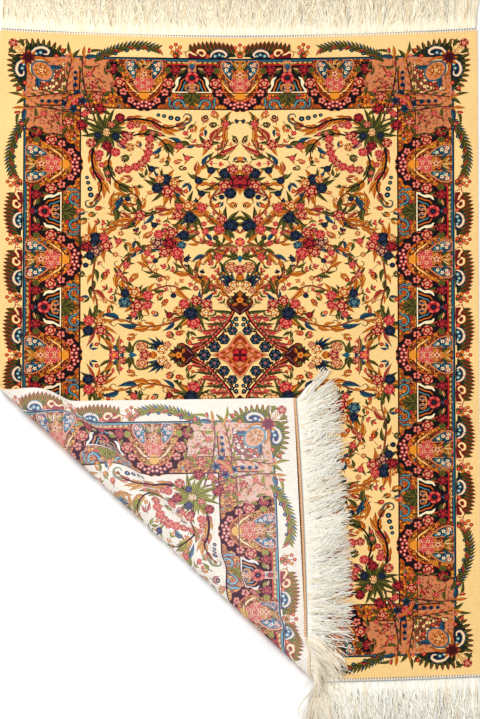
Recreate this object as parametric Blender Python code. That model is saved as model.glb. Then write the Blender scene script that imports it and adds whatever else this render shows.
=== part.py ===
"""Persian rug, nominally 100 x 150 cm, lying pile up with its near left corner turned over.

The knotted cloth is one sheet. It is made flat and then bent along a fan of straight fold lines, so it
keeps its true size through the roll and shows its back on the turned corner. Each end has a narrow woven
band that carries the fringe: one band at the far end, and two at the near end, which is parted where the
cloth rolls over.

Frame: metres, +Z up, floor at z = 0, +Y towards the far end, +X to the right, origin under the middle.
A flat place on the rug is given by u and v, which are X and Y before the corner is turned, and by its
height above the back of the cloth.
"""
import math
import random

import bmesh
import bpy
from mathutils import Matrix, Vector

# The cloth.
HALF_WIDTH = 0.500
SIDE_LENGTH = 1.475
NEAR_CORNER_Y = -0.7305
FAR_CORNER_Y = NEAR_CORNER_Y + SIDE_LENGTH
FAR_END_BOW = 0.018
NEAR_END_BOW = 0.014
CLOTH_THICKNESS = 0.005
END_STEPS = 20

# The turned corner. Each fold line runs from the left side to the near end, and is given by its
# distance from the corner along each of them. The bands between the first and last lines are equal
# in width, and each turns the cloth by its own angle: a round nose first, then the level lie of the flap.
FIRST_FOLD = {"up_side": 0.675, "along_end": 0.669}
LAST_FOLD = {"up_side": 0.453, "along_end": 0.546}
BAND_TURNS_DEG = (62.8, 49.0, 24.3, 38.3, 36.4, 19.5, 5.6, -55.9)
FOLDS_PER_BAND = 6
NUDGE = 0.00005
SPLIT_TOLERANCE = 0.000001

# The fringe: locks of warp ends, rooted in a woven band at each end of the cloth.
PIECE_GAP = 0.0004
BAND_WIDTH = 0.005
BAND_THICKNESS = 0.0035
LOCK_PITCH = 0.0095
LOCK_ROOT_WIDTH = 0.0055
LOCK_TIP_WIDTH = 0.0034
LOCK_HEIGHT = 0.0030
LOCK_TIP_HEIGHT = 0.0022
LOCK_LENGTH = 0.110
LENGTH_SPREAD = 0.006
LOCK_STEPS = 3
LOCK_WANDER = 0.0008
FLAP_LOCK_REST = CLOTH_THICKNESS + 0.0008
SIDE_MARGIN = 0.003
FLAP_BAND_END = 0.540
NEAR_BAND_START = 0.676

PART_NAME = "persian_rug"


def clear_scene():
    for old in list(bpy.data.objects):
        bpy.data.objects.remove(old)


def far_end(u):
    """v of the far end, whose corners stand further out than its middle."""
    return FAR_CORNER_Y - FAR_END_BOW * (1 - (u / HALF_WIDTH) ** 2)


def near_end(u):
    """v of the near end, whose middle stands further out than its corners."""
    return NEAR_CORNER_Y - NEAR_END_BOW * (1 - (u / HALF_WIDTH) ** 2)


def fold_fan():
    """The fold lines in order: (point on the line, direction towards the corner, placement beyond it)."""
    fan = []
    placement = Matrix.Identity(4)
    total = len(BAND_TURNS_DEG) * FOLDS_PER_BAND
    for index in range(total):
        share = (index + 0.5) / total
        up_side = FIRST_FOLD["up_side"] * (1 - share) + LAST_FOLD["up_side"] * share
        along_end = FIRST_FOLD["along_end"] * (1 - share) + LAST_FOLD["along_end"] * share
        mid_height = CLOTH_THICKNESS / 2
        side_point = Vector((-HALF_WIDTH, NEAR_CORNER_Y + up_side, mid_height))
        end_u = -HALF_WIDTH + along_end
        end_point = Vector((end_u, near_end(end_u), mid_height))
        axis = (side_point - end_point).normalized()
        to_corner = Vector((0, 0, 1)).cross(axis)
        turn = math.radians(BAND_TURNS_DEG[index // FOLDS_PER_BAND] / FOLDS_PER_BAND)
        to_line = Matrix.Translation(side_point)
        placement = placement @ to_line @ Matrix.Rotation(turn, 4, axis) @ to_line.inverted()
        fan.append((side_point, to_corner, placement))
    return fan


FOLD_FAN = fold_fan()


def placement_at(u, v):
    """Where the cloth around (u, v) has been carried by the fold lines between it and the flat part."""
    placement = Matrix.Identity(4)
    for point, to_corner, beyond in FOLD_FAN:
        if (u - point.x) * to_corner.x + (v - point.y) * to_corner.y < 0:
            break
        placement = beyond
    return placement


def place(u, v, height):
    """World position of a flat place; on a fold line it is shared by the cloth on both sides."""
    flat = Vector((u, v, height))
    return (placement_at(u + NUDGE, v + NUDGE) @ flat + placement_at(u - NUDGE, v - NUDGE) @ flat) / 2


def make_material(name, colour, roughness):
    material = bpy.data.materials.new(name)
    material.use_nodes = True
    shader = material.node_tree.nodes["Principled BSDF"]
    shader.inputs["Base Color"].default_value = (*colour, 1)
    shader.inputs["Roughness"].default_value = roughness
    shader.inputs["Metallic"].default_value = 0
    return material


def add_object(name, mesh_data, material, collection):
    mesh = bpy.data.meshes.new(name)
    bmesh.ops.recalc_face_normals(mesh_data, faces=mesh_data.faces)
    mesh_data.to_mesh(mesh)
    mesh_data.free()
    mesh.materials.append(material)
    created = bpy.data.objects.new(name, mesh)
    collection.objects.link(created)
    return created


def split_at(mesh_data, point, normal):
    bmesh.ops.bisect_plane(
        mesh_data,
        geom=mesh_data.verts[:] + mesh_data.edges[:] + mesh_data.faces[:],
        dist=SPLIT_TOLERANCE,
        plane_co=point,
        plane_no=normal,
    )


def rug_cloth():
    """The whole knotted cloth: its flat outline, given its thickness, split at the folds and bent."""
    across = [HALF_WIDTH * (2 * step / END_STEPS - 1) for step in range(END_STEPS + 1)]
    outline = [(u, near_end(u)) for u in across] + [(u, far_end(u)) for u in reversed(across)]
    cloth = bmesh.new()
    back = cloth.faces.new([cloth.verts.new((u, v, 0)) for u, v in outline])
    grown = bmesh.ops.extrude_face_region(cloth, geom=[back], use_keep_orig=True)
    for item in grown["geom"]:
        if isinstance(item, bmesh.types.BMVert):
            item.co.z = CLOTH_THICKNESS
    for point, to_corner, _ in FOLD_FAN:
        split_at(cloth, point, to_corner)
    for vertex in cloth.verts:
        vertex.co = place(*vertex.co)
    return cloth


def end_band(start, finish, end_line, outward, top):
    """The woven band beside an end, from start to finish in u, with its outer faces for the locks' roots.

    It is made straight, split at the sides of each root, and then carried to its place with the cloth.
    """
    count = int((finish - start) // LOCK_PITCH)
    pitch = (finish - start) / count
    middles = [start + pitch * (index + 0.5) for index in range(count)]
    band = bmesh.new()
    bmesh.ops.create_cube(band, size=1)
    for vertex in band.verts:
        vertex.co.x = finish if vertex.co.x > 0 else start
        vertex.co.y = PIECE_GAP + (BAND_WIDTH if vertex.co.y > 0 else 0)
        vertex.co.z = top - (0 if vertex.co.z > 0 else BAND_THICKNESS)
    for middle in middles:
        for side in (-1, 1):
            edge = middle + side * LOCK_ROOT_WIDTH / 2
            split_at(band, (edge, 0, 0), (1, 0, 0))
    band.faces.ensure_lookup_table()
    roots = []
    for middle in middles:
        for face in band.faces:
            centre = face.calc_center_median()
            if abs(centre.x - middle) < NUDGE and centre.y > BAND_WIDTH and abs(face.normal.y) > 0.9:
                roots.append(face)
                break
    for vertex in band.verts:
        u = vertex.co.x
        vertex.co = place(u, end_line(u) + outward * vertex.co.y, vertex.co.z)
    return band, roots


def grow_lock(band, root, path):
    """Draws a lock out of its root face, through the sections of its path.

    A section is (centre, unit vector across the lock, half width, half height); all lie level.
    """
    face = root
    for centre, across, half_width, half_height in path:
        old_middle = face.calc_center_median()
        grown = bmesh.ops.extrude_discrete_faces(band, faces=[face])
        face = grown["faces"][0]
        for vertex in face.verts:
            offset = vertex.co - old_middle
            side = 1 if offset.dot(across) > 0 else -1
            level = 1 if offset.z > 0 else -1
            vertex.co = centre + across * side * half_width + Vector((0, 0, level * half_height))


def lock_path(root_middle, heading_deg, bend_deg, length, rest_height, chance):
    """Sections of one lock, heading out level at an angle from +X and bending by bend_deg on its way."""
    sections = []
    place_now = root_middle.copy()
    for step in range(1, LOCK_STEPS + 1):
        share = step / LOCK_STEPS
        angle = math.radians(heading_deg + bend_deg * share)
        onward = Vector((math.cos(angle), math.sin(angle), 0))
        across = Vector((-onward.y, onward.x, 0))
        place_now += onward * (length / LOCK_STEPS)
        place_now += across * chance.uniform(-LOCK_WANDER, LOCK_WANDER)
        half_height = (LOCK_HEIGHT * (1 - share) + LOCK_TIP_HEIGHT * share) / 2
        half_width = (LOCK_ROOT_WIDTH * (1 - share) + LOCK_TIP_WIDTH * share) / 2
        place_now.z = rest_height + half_height
        sections.append((place_now.copy(), across, half_width, half_height))
    return sections


def fringe(start, finish, end_line, outward, heading, top, rest_height, seed):
    """A band with its locks; heading(u) gives the angle each lock sets out at and how far it bends."""
    chance = random.Random(seed)
    band, roots = end_band(start, finish, end_line, outward, top)
    for root in roots:
        middle = root.calc_center_median()
        heading_deg, bend_deg = heading(middle)
        length = LOCK_LENGTH + chance.uniform(-LENGTH_SPREAD, LENGTH_SPREAD)
        grow_lock(band, root, lock_path(middle, heading_deg, bend_deg, length, rest_height, chance))
    return band


def far_heading(middle):
    """The far fringe is combed straight out, its outer locks fanning a little."""
    return 90 - 6 * middle.x / HALF_WIDTH, 3


def near_heading(middle):
    """The near fringe runs straight out, leaning to the right."""
    return -90 + 4 * middle.x / HALF_WIDTH, 5


# How the flap's locks set out at each distance below the turned corner, and bend, in degrees.
FLAP_HEADINGS = (
    {"below": 0.000, "heading": 62, "bend": -8},
    {"below": 0.040, "heading": 38, "bend": -6},
    {"below": 0.250, "heading": 26, "bend": 2},
    {"below": 0.420, "heading": 12, "bend": 2},
    {"below": 0.540, "heading": -6, "bend": -10},
)


def flap_heading(middle):
    """The flap's locks lie on the pile, combed away from the near end and fanned at the corner."""
    corner = place(-HALF_WIDTH, NEAR_CORNER_Y, 0)
    below = corner.y - middle.y
    for upper, lower in zip(FLAP_HEADINGS, FLAP_HEADINGS[1:]):
        if below <= lower["below"]:
            share = (below - upper["below"]) / (lower["below"] - upper["below"])
            return tuple(upper[key] * (1 - share) + lower[key] * share for key in ("heading", "bend"))
    return FLAP_HEADINGS[-1]["heading"], FLAP_HEADINGS[-1]["bend"]


def main():
    clear_scene()
    rug = bpy.data.collections.new(PART_NAME)
    bpy.context.scene.collection.children.link(rug)
    pile = make_material("knotted_wool", (0.72, 0.50, 0.22), 0.85)
    cotton = make_material("fringe_cotton", (0.83, 0.76, 0.62), 0.9)
    add_object("rug_cloth", rug_cloth(), pile, rug)
    left = -HALF_WIDTH + SIDE_MARGIN
    right = HALF_WIDTH - SIDE_MARGIN
    far_fringe = fringe(left, right, far_end, 1, far_heading, BAND_THICKNESS, 0, seed=1)
    add_object("fringe_far", far_fringe, cotton, rug)
    near_start = -HALF_WIDTH + NEAR_BAND_START
    near_fringe = fringe(near_start, right, near_end, -1, near_heading, BAND_THICKNESS, 0, seed=2)
    add_object("fringe_near", near_fringe, cotton, rug)
    flap_finish = -HALF_WIDTH + FLAP_BAND_END
    flap_top = CLOTH_THICKNESS
    flap_fringe = fringe(left, flap_finish, near_end, -1, flap_heading, flap_top, FLAP_LOCK_REST, seed=3)
    add_object("fringe_flap", flap_fringe, cotton, rug)


main()
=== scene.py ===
"""Looks of the persian rug: its knotted pattern, its turned corner, its fringe and its stitched ends."""
import cmath
import math
import random

import bpy
import numpy as np
from mathutils import Matrix, Vector
from mathutils.geometry import delaunay_2d_cdt


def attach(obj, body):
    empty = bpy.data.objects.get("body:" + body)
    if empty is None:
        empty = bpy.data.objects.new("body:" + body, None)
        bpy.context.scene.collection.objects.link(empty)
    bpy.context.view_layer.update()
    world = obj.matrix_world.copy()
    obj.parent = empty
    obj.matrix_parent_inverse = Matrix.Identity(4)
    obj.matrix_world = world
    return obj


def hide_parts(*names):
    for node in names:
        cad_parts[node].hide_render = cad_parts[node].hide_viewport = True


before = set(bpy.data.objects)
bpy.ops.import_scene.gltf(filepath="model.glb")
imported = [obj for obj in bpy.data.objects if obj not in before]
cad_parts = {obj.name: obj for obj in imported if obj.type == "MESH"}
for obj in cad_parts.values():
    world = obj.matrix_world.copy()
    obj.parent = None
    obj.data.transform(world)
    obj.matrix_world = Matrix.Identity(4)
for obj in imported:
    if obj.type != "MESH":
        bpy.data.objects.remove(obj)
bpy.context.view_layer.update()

# ---------------------------------------------------------------- the solid's cloth and fold
HALF_WIDTH, NEAR_CORNER_Y, FAR_CORNER_Y = 0.500, -0.7305, 0.7445
FAR_END_BOW, NEAR_END_BOW, THICKNESS = 0.018, 0.014, 0.005
FIRST_FOLD = {"up_side": 0.675, "along_end": 0.669}
LAST_FOLD = {"up_side": 0.453, "along_end": 0.546}
BAND_TURNS_DEG = (62.8, 49.0, 24.3, 38.3, 36.4, 19.5, 5.6, -55.9)
# a band bends along more lines than the mesh is split along
FOLDS_PER_BAND, SPLITS_PER_BAND = 16, 4


def far_end(u):
    """The far end's y at a distance from the middle; near_end is its like."""
    return FAR_CORNER_Y - FAR_END_BOW * (1 - (u / HALF_WIDTH) ** 2)


def near_end(u):
    return NEAR_CORNER_Y - NEAR_END_BOW * (1 - (u / HALF_WIDTH) ** 2)


def fold_lines(per_band):
    """(point, direction towards the corner, axis, turn) of each fold line, from the flat part on."""
    lines = []
    total = len(BAND_TURNS_DEG) * per_band
    for index in range(total):
        share = (index + 0.5) / total
        up = FIRST_FOLD["up_side"] * (1 - share) + LAST_FOLD["up_side"] * share
        along = FIRST_FOLD["along_end"] * (1 - share) + LAST_FOLD["along_end"] * share
        a = Vector((-HALF_WIDTH, NEAR_CORNER_Y + up, THICKNESS / 2))
        b = Vector((-HALF_WIDTH + along, near_end(-HALF_WIDTH + along), THICKNESS / 2))
        axis = (a - b).normalized()
        turn = math.radians(BAND_TURNS_DEG[index // per_band] / per_band)
        lines.append((a, Vector((0, 0, 1)).cross(axis), axis, turn))
    return lines


def bend(points):
    """Carries flat points, an array of rows (u, v, height), with the cloth. Returns points and normals."""
    points = np.asarray(points, float)
    region = np.zeros(len(points), int)
    inside = np.ones(len(points), bool)
    placements = [np.eye(4)]
    for a, to_corner, axis, turn in fold_lines(FOLDS_PER_BAND):
        inside &= (points[:, 0] - a.x) * to_corner.x + (points[:, 1] - a.y) * to_corner.y > 0
        region[inside] += 1
        to_line = Matrix.Translation(a)
        step = to_line @ Matrix.Rotation(turn, 4, axis) @ to_line.inverted()
        placements.append(placements[-1] @ np.array(step))
    table = np.array(placements)[region]
    moved = np.einsum("nij,nj->ni", table[:, :3, :3], points) + table[:, :3, 3]
    return moved, table[:, :3, 2]


# ---------------------------------------------------------------- drawing in millimetres, as complex numbers
TONES = {
    "gold": (250, 208, 137), "terra": (198, 120, 80), "cream": (253, 230, 182), "amber": (232, 142, 38),
    "orange": (210, 96, 18), "rust": (158, 52, 16), "salmon": (212, 126, 74), "clay": (150, 66, 34),
    "red": (184, 24, 30), "crimson": (206, 46, 48), "pink": (226, 88, 80), "rosy": (236, 124, 102),
    "blush": (244, 172, 124), "wine": (106, 12, 24), "maroon": (58, 8, 12), "black": (16, 6, 8),
    "brown": (90, 38, 16), "navy": (12, 20, 40), "blue": (38, 58, 84), "slate": (84, 108, 116),
    "teal": (22, 88, 110), "aqua": (100, 148, 146), "green": (62, 66, 20), "olive": (112, 100, 32),
    "forest": (28, 34, 12), "plum": (90, 36, 58),
}
TONE_NAMES = list(TONES)
# the kinds of shape; BUSY and CALM are grounds filled with many or few small flowers
PLAIN, ROSE, BLOSSOM, LEAF, RIBBON, BUD, BUSY, CALM = range(8)
QUARTER_WIDTH, QUARTER_HEIGHT = 500.0, 737.5
# points nearer to each other than this are one, when borders are found and when they are filled
BORDER_MERGE, FILL_MERGE = 0.01, 0.001
SHAPES_SHARED = 60


class Chart:
    """Shapes, each over the ones before it, kept to the quarter from (0, 0) to its far corner.

    A shape has its kind, the tones of its body, rim and heart, and the way from a place to a place within it.
    A plain shape takes the entry of an early one in the same tones.
    """

    def __init__(self, width, height):
        self.width, self.height = width, height
        self.points, self.faces, self.owners, self.shapes = [], [], [], []
        self.add([0, width, complex(width, height), complex(0, height)], ("gold",) * 3)

    def add(self, outline, tones, kind=PLAIN, inner=None):
        reals = [z.real for z in outline]
        imags = [z.imag for z in outline]
        if max(reals) <= 0 or max(imags) <= 0 or min(reals) >= self.width or min(imags) >= self.height:
            return
        first = len(self.points)
        self.points.extend(Vector((z.real, z.imag)) for z in outline)
        self.faces.append(list(range(first, len(self.points))))
        shape = (kind, tuple(TONE_NAMES.index(tone) for tone in tones), inner)
        if inner is None and shape in self.shapes[:SHAPES_SHARED]:
            self.owners.append(self.shapes.index(shape))
        else:
            self.owners.append(len(self.shapes))
            self.shapes.append(shape)

    def borders(self):
        """The borders between shapes: points, edges, the shape to the left of each and that to the right."""
        edges = [(f[k - 1], f[k]) for f in self.faces for k in range(len(f))]
        points, _, found, _, _, _ = delaunay_2d_cdt(self.points, edges, [], 0, BORDER_MERGE, False)
        points = np.array([(p.x, p.y) for p in points])
        found = np.array(found)
        middle = points[found].mean(axis=1)
        inside = ((middle > 0) & (middle < (self.width, self.height))).all(axis=1)
        found, middle = found[inside], middle[inside]
        order = np.argsort(middle[:, 0])
        found, middle = found[order], middle[order]
        xs, ys = np.ascontiguousarray(middle[:, 0]), np.ascontiguousarray(middle[:, 1])
        # the last shape round each triangle's middle owns it
        owners = np.zeros(len(found), int)
        corners = np.array([(p.x, p.y) for p in self.points])
        for face, owner in zip(self.faces, self.owners):
            outline = corners[face]
            low, high = outline.min(axis=0), outline.max(axis=0)
            first, last = np.searchsorted(xs, (low[0], high[0]))
            near = first + np.nonzero((ys[first:last] > low[1]) & (ys[first:last] < high[1]))[0]
            x, y = xs[near], ys[near]
            odd = np.zeros(len(near), bool)
            for (ax, ay), (bx, by) in zip(outline, np.roll(outline, -1, axis=0)):
                if ay != by:
                    odd ^= ((ay > y) != (by > y)) & (x < (bx - ax) * (y - ay) / (by - ay) + ax)
            owners[near[odd]] = owner
        # an edge is a border where the triangles at its two sides have other owners
        starts = found.ravel()
        ends = np.roll(found, -1, axis=1).ravel()
        side = np.repeat(owners, 3)
        key = starts.astype(np.int64) * len(points) + ends
        back = ends.astype(np.int64) * len(points) + starts
        order = np.argsort(key)
        at = np.clip(np.searchsorted(key[order], back), 0, len(key) - 1)
        other = np.where(key[order][at] == back, side[order][at], -1)
        kept = (other != side) & ((starts < ends) | (other < 0))
        return straightened(points, np.stack([starts[kept], ends[kept]], axis=1), side[kept], other[kept])


def straightened(points, lines, left, right, tolerance=0.4, longest=60, rounds=12):
    """The borders without the points that lie nearly on the line between their two neighbours."""
    chance = np.random.default_rng(5)
    for _ in range(rounds):
        ends = lines.ravel()
        order = np.argsort(ends, kind="stable")
        count = np.bincount(ends, minlength=len(points))
        first = np.cumsum(count) - count
        two = np.nonzero(count == 2)[0]
        slot_a, slot_b = order[first[two]], order[first[two] + 1]
        near_a, near_b = ends[slot_a ^ 1], ends[slot_b ^ 1]
        span = points[near_b] - points[near_a]
        length = np.maximum(np.hypot(span[:, 0], span[:, 1]), 1e-9)
        offset = points[two] - points[near_a]
        deviation = np.abs(span[:, 0] * offset[:, 1] - span[:, 1] * offset[:, 0]) / length
        good = (deviation < tolerance) & (length < longest) & (near_a != near_b)
        rank = np.zeros(len(points))
        rank[two[good]] = chance.random(good.sum()) + 0.001
        good &= (rank[two] > rank[near_a]) & (rank[two] > rank[near_b])
        edge_a, edge_b = slot_a[good] // 2, slot_b[good] // 2
        lines, left, right = lines.copy(), left.copy(), right.copy()
        came_in = slot_a[good] % 2 == 1
        new_left = np.where(came_in, left[edge_a], right[edge_a])
        new_right = np.where(came_in, right[edge_a], left[edge_a])
        lines[edge_a] = np.stack([near_a[good], near_b[good]], axis=1)
        left[edge_a], right[edge_a] = new_left, new_right
        kept = np.ones(len(lines), bool)
        kept[edge_b] = False
        lines, left, right = lines[kept], left[kept], right[kept]
    return points, lines, left, right


def filled(borders, creases=()):
    """(points, triangles, shape of each) between the borders, split along the creases."""
    old, lines, left, right = borders
    used = np.unique(lines)
    points = [Vector(p) for p in old[used]]
    edges = np.searchsorted(used, lines).tolist()
    for path in creases:
        edges.extend((len(points) + k, len(points) + k + 1) for k in range(len(path) - 1))
        points.extend(Vector(p) for p in path)
    out, out_edges, found, _, from_edges, _ = delaunay_2d_cdt(points, edges, [], 0, FILL_MERGE, True)
    out = np.array([(p.x, p.y) for p in out])
    found = np.array(found)
    shape_at = {}
    for (a, b), origins in zip(out_edges, from_edges):
        for origin in origins:
            if origin < len(lines):
                start, end = old[lines[origin][0]], old[lines[origin][1]]
                same = (out[b] - out[a]) @ (end - start) > 0
                shape_at[(a, b)] = left[origin] if same else right[origin]
                shape_at[(b, a)] = right[origin] if same else left[origin]
    owner = {}
    for n, (a, b, c) in enumerate(found.tolist()):
        owner[(a, b)] = owner[(b, c)] = owner[(c, a)] = n
    shapes = np.full(len(found), -2)
    # each triangle beside a border takes its shape, and passes it on up to the next border
    fresh = []
    for edge, shape in shape_at.items():
        n = owner.get(edge)
        if n is not None and shapes[n] == -2:
            shapes[n] = shape
            fresh.append(n)
    corners = found.tolist()
    while fresh:
        n = fresh.pop()
        a, b, c = corners[n]
        for edge in ((b, a), (c, b), (a, c)):
            if edge not in shape_at:
                m = owner.get(edge)
                if m is not None and shapes[m] == -2:
                    shapes[m] = shapes[n]
                    fresh.append(m)
    inside = shapes >= 0
    return out, found[inside], shapes[inside]


def polar(length, angle):
    """The vector of a length at an angle in degrees."""
    return cmath.rect(length, math.radians(angle))


def bearing(start, end):
    """The angle in degrees of the way from one point to another."""
    return math.degrees(cmath.phase(end - start))


class Pen:
    """Draws on a chart from its own place, turn, size and hand."""

    def __init__(self, chart, z=0j, w=1 + 0j, flip=False):
        self.chart, self.z, self.w, self.flip = chart, complex(z), complex(w), flip

    def out(self, p):
        p = complex(p)
        return self.z + self.w * (p.conjugate() if self.flip else p)

    def at(self, z=0j, angle=0, size=1, flip=False):
        w = polar(size, angle)
        return Pen(self.chart, self.out(z), self.w * (w.conjugate() if self.flip else w), self.flip != flip)

    def both(self):
        """The pen and its mirror image across its own second axis."""
        return self, self.at(0, 180, 1, True)

    def mirrored(self):
        """The pen's mirror image across its own first axis."""
        return self.at(0, 0, 1, True)

    def quarters(self):
        """The pen and its mirror images across its second axis, its first and both."""
        return [image for half in self.both() for image in (half, half.mirrored())]

    def fill(self, outline, tone, kind=PLAIN, inner=None):
        """Adds a shape; tone is one tone, or those of its body, rim and heart."""
        tones = (tone,) * 3 if isinstance(tone, str) else tone
        place = (lambda z: inner(self.back(z))) if inner else None
        self.chart.add([self.out(p) for p in outline], tones, kind, place)

    def back(self, z):
        """A place of the chart, or an array of them, as the pen's own."""
        p = (z - self.z) / self.w
        return np.conj(p) if self.flip else p

    def blob(self, z, r, tone, lobes=0, depth=0.12, sides=8, long=1.0, angle=0.0, kind=PLAIN):
        """A round or lobed spot; long stretches it along its angle."""
        turn = polar(1, angle)
        sides = lobes * 2 if lobes else sides
        outline = []
        for k in range(sides):
            a = 2 * math.pi * k / sides
            q = r * (1 + depth * math.cos(lobes * a)) if lobes else r
            outline.append(z + turn * complex(q * long * math.cos(a), q * math.sin(a)))
        self.fill(outline, tone, kind, (lambda p: (p - z) / r / turn) if kind else None)

    def ribbon(self, path, widths, tone):
        """A band along a path; widths run from its start to its end."""
        left, right, halves = [], [], []
        last = len(path) - 1
        for k, p in enumerate(path):
            ahead, behind = path[min(k + 1, last)], path[max(k - 1, 0)]
            across = (ahead - behind) * 1j / max(abs(ahead - behind), 1e-6)
            at = k / last * (len(widths) - 1)
            low = min(int(at), len(widths) - 2)
            half = (widths[low] * (low + 1 - at) + widths[low + 1] * (at - low)) / 2
            left.append(p + across * half)
            right.append(p - across * half)
            halves.append(half)
        if isinstance(tone, str):
            self.fill(left + right[::-1], tone)
        else:
            self.fill(left + right[::-1], tone, RIBBON, along(path, halves))

    def stroke(self, points, steps, widths, tone):
        """A ribbon along the smooth path through the points."""
        self.ribbon(curve(points, steps), widths, tone)

    def patch(self, points, steps, tone):
        """A shape within the smooth path through the points."""
        self.fill(curve(points, steps), tone)


def along(path, halves):
    """The way to a place as (millimetres along the path, share of its half width across it)."""
    a = np.array(path[:-1])
    run = np.array(path[1:]) - a
    length = np.maximum(np.abs(run), 1e-6)
    start = np.concatenate([[0], np.cumsum(length)[:-1]])
    halves = np.maximum(halves, 0.15)

    def inner(p):
        beside = (p[:, None] - a) * np.conj(run) / length
        at = np.clip(beside.real / length, 0, 1)
        best = np.abs(p[:, None] - a - run * at).argmin(axis=1)
        rows = np.arange(len(p))
        at = at[rows, best]
        half = halves[best] * (1 - at) + halves[best + 1] * at
        return start[best] + at * length[best] + 1j * beside.imag[rows, best] / half

    return inner


def curve(points, steps=4):
    """A smooth path through the points."""
    points = [complex(p) for p in points]
    ends = [2 * points[0] - points[1]] + points + [2 * points[-1] - points[-2]]
    path = []
    for a, b, c, d in zip(ends, ends[1:], ends[2:], ends[3:]):
        for k in range(steps):
            t = k / steps
            bent = (2 * a - 5 * b + 4 * c - d) * t**2 + (3 * b - a - 3 * c + d) * t**3
            path.append(0.5 * (2 * b + (c - a) * t + bent))
    return path + [points[-1]]


def spiral(centre, radius, start, sweep, shrink=0.25, steps=9):
    """A path winding in to a centre; angles in degrees."""
    path = []
    for k in range(steps + 1):
        t = k / steps
        path.append(centre + polar(radius * (1 - (1 - shrink) * t), start + sweep * t))
    return path


# ---------------------------------------------------------------- flowers and leaves
# the tones of body, rim and heart
FAMILY = {
    "red": ("red", "maroon", "blush"), "pink": ("crimson", "wine", "rosy"),
    "dark": ("wine", "black", "crimson"),
    "orange": ("orange", "brown", "gold"), "navy": ("navy", "black", "blue"),
    "teal": ("blue", "black", "aqua"),
    "plum": ("plum", "maroon", "blush"), "gold": ("amber", "brown", "cream"),
    "blush": ("salmon", "brown", "blush"),
    "slate": ("navy", "black", "slate"),
}
LEAVES = GREEN, AMBER, OLIVE, SALMON, TEAL = (
    ("green", "black", "olive"), ("amber", "brown", "orange"), ("olive", "forest", "green"),
    ("salmon", "maroon", "red"), ("teal", "black", "blue"),
)
GILT, BRASS, EMBER = ("amber", "maroon", "gold"), ("amber", "brown", "gold"), ("rust", "maroon", "red")
SKY, PEARL, SOOT = ("teal", "navy", "aqua"), ("blush", "teal", "cream"), ("black", "black", "rust")
LONG_LEAF = 17


def rose(pen, z, r, family="red", angle=0):
    pen.at(z, angle).blob(0, r, FAMILY[family], sides=11 if r > 9 else 9 if r > 6 else 7, kind=ROSE)


def blossom(pen, z, r, petal="pink", heart="amber", edge="wine", angle=0):
    pen.at(z, angle).blob(0, r, (petal, edge, heart), sides=9 if r > 6 else 7, kind=BLOSSOM)


def leaf(pen, z, angle, length, width, tones=GREEN, bend_deg=18):
    """A pointed leaf, bent to one side; a long one has a point more along each side."""
    if length > LONG_LEAF:
        reach, swell = (0, 0.2, 0.45, 0.7, 1), (0.05, 0.8, 1.0, 0.68, 0)
    else:
        reach, swell = (0, 0.3, 0.65, 1), (0.1, 1.0, 0.8, 0)

    def rib(x):
        """How far the middle of the leaf lies beside its axis, at a share of its length."""
        return length * math.radians(bend_deg) * (x * x - 0.3 * x)

    def inner(p):
        x = p.real / length
        return x + 1j * (p.imag - rib(x)) / (width / 2)

    left = [complex(x * length, rib(x) + s * width / 2) for x, s in zip(reach, swell)]
    right = [complex(x * length, rib(x) - s * width / 2) for x, s in zip(reach, swell)]

    pen.at(z, angle).fill(left + right[-2::-1], tones, LEAF, inner)


def bud(pen, z, angle, size, family="red"):
    outline = [0, 0.3 - 0.32j, 0.72 - 0.26j, 1.05, 0.72 + 0.26j, 0.3 + 0.32j]
    pen.at(z, angle, size).fill(outline, FAMILY[family], BUD, lambda p: p.real + 1j * p.imag / 0.34)


def sprig(pen, z, angle, length, pairs, family="red", stem="brown", spread=38, size=6.0, leafy=False):
    """A straight twig with paired buds or leaves and one at its tip."""
    p = pen.at(z, angle)
    p.ribbon([0, length * 0.5, length], (1.5, 1.2, 0.8), stem)
    for k in range(pairs):
        x = length * (0.25 + 0.6 * k / max(pairs - 1, 1))
        for side in (1, -1):
            if leafy and k % 2 == 0:
                leaf(p, x, side * spread, size * 1.3, size * 0.45, OLIVE, side * 14)
            else:
                bud(p, x, side * spread, size, family)
    bud(p, length * 0.92, 0, size * 1.1, family)


def acanthus(pen, path, length, kinds, side, count, lean):
    """A large scrolling leaf: curved leaflets along a stem, long on one side and short on the other."""
    last, short = len(path) - 1, 0.6
    for n in range(count):
        t = 0.06 + 0.90 * n / (count - 1)
        j = min(int(t * last), last - 1)
        heading = bearing(path[j], path[j + 1])
        swell = length * (0.45 + 0.60 * math.sin(math.pi * min(1, t + 0.12)))
        tones = kinds[n % len(kinds)]
        leaf(pen, path[j], heading + side * lean, swell, swell * 0.36, tones, -side * 26)
        leaf(pen, path[j], heading - side * lean, swell * short, swell * short * 0.40, tones, side * 22)
    pen.ribbon(list(path), (length * 0.14, length * 0.12, length * 0.06), "black")


def bouquet(pen, z, spots, leaves, size):
    """Flowers given as (x, y, radius, family), over leaves given as (angle, length, width, tones)."""
    p = pen.at(z, 0, size)
    for angle, length, width, tones in leaves:
        leaf(p, polar(4, angle), angle, length, width, tones)
    for x, y, r, family in spots:
        rose(p, complex(x, y), r, family, angle=37 * x)


# ---------------------------------------------------------------- the border
# the border's lines, in millimetres from the edge
OUTER, MID, INNER = 50.0, 130.0, 168.0
BAND = MID - OUTER
# the length of a unit along the side and along the end, and of a run of the guard
SIDE_PITCH, END_PITCH, SIDE_GUARD, END_GUARD = 218.5, 200.0, 131.0, 134.0
# tones of the grounds that are filled with small flowers
MEADOW, DAMASK = ("terra", "clay", "salmon"), ("orange", "maroon", "amber")
BROCADE = ("rust", "black", "amber")


def places_along(k):
    """The ways to write one place, and a path of them, in a border stretched along by k."""
    def at(t, s):
        return complex(t * k, s)

    def path(*points):
        return [at(p.real, complex(p).imag) for p in points]

    return at, path


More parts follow.
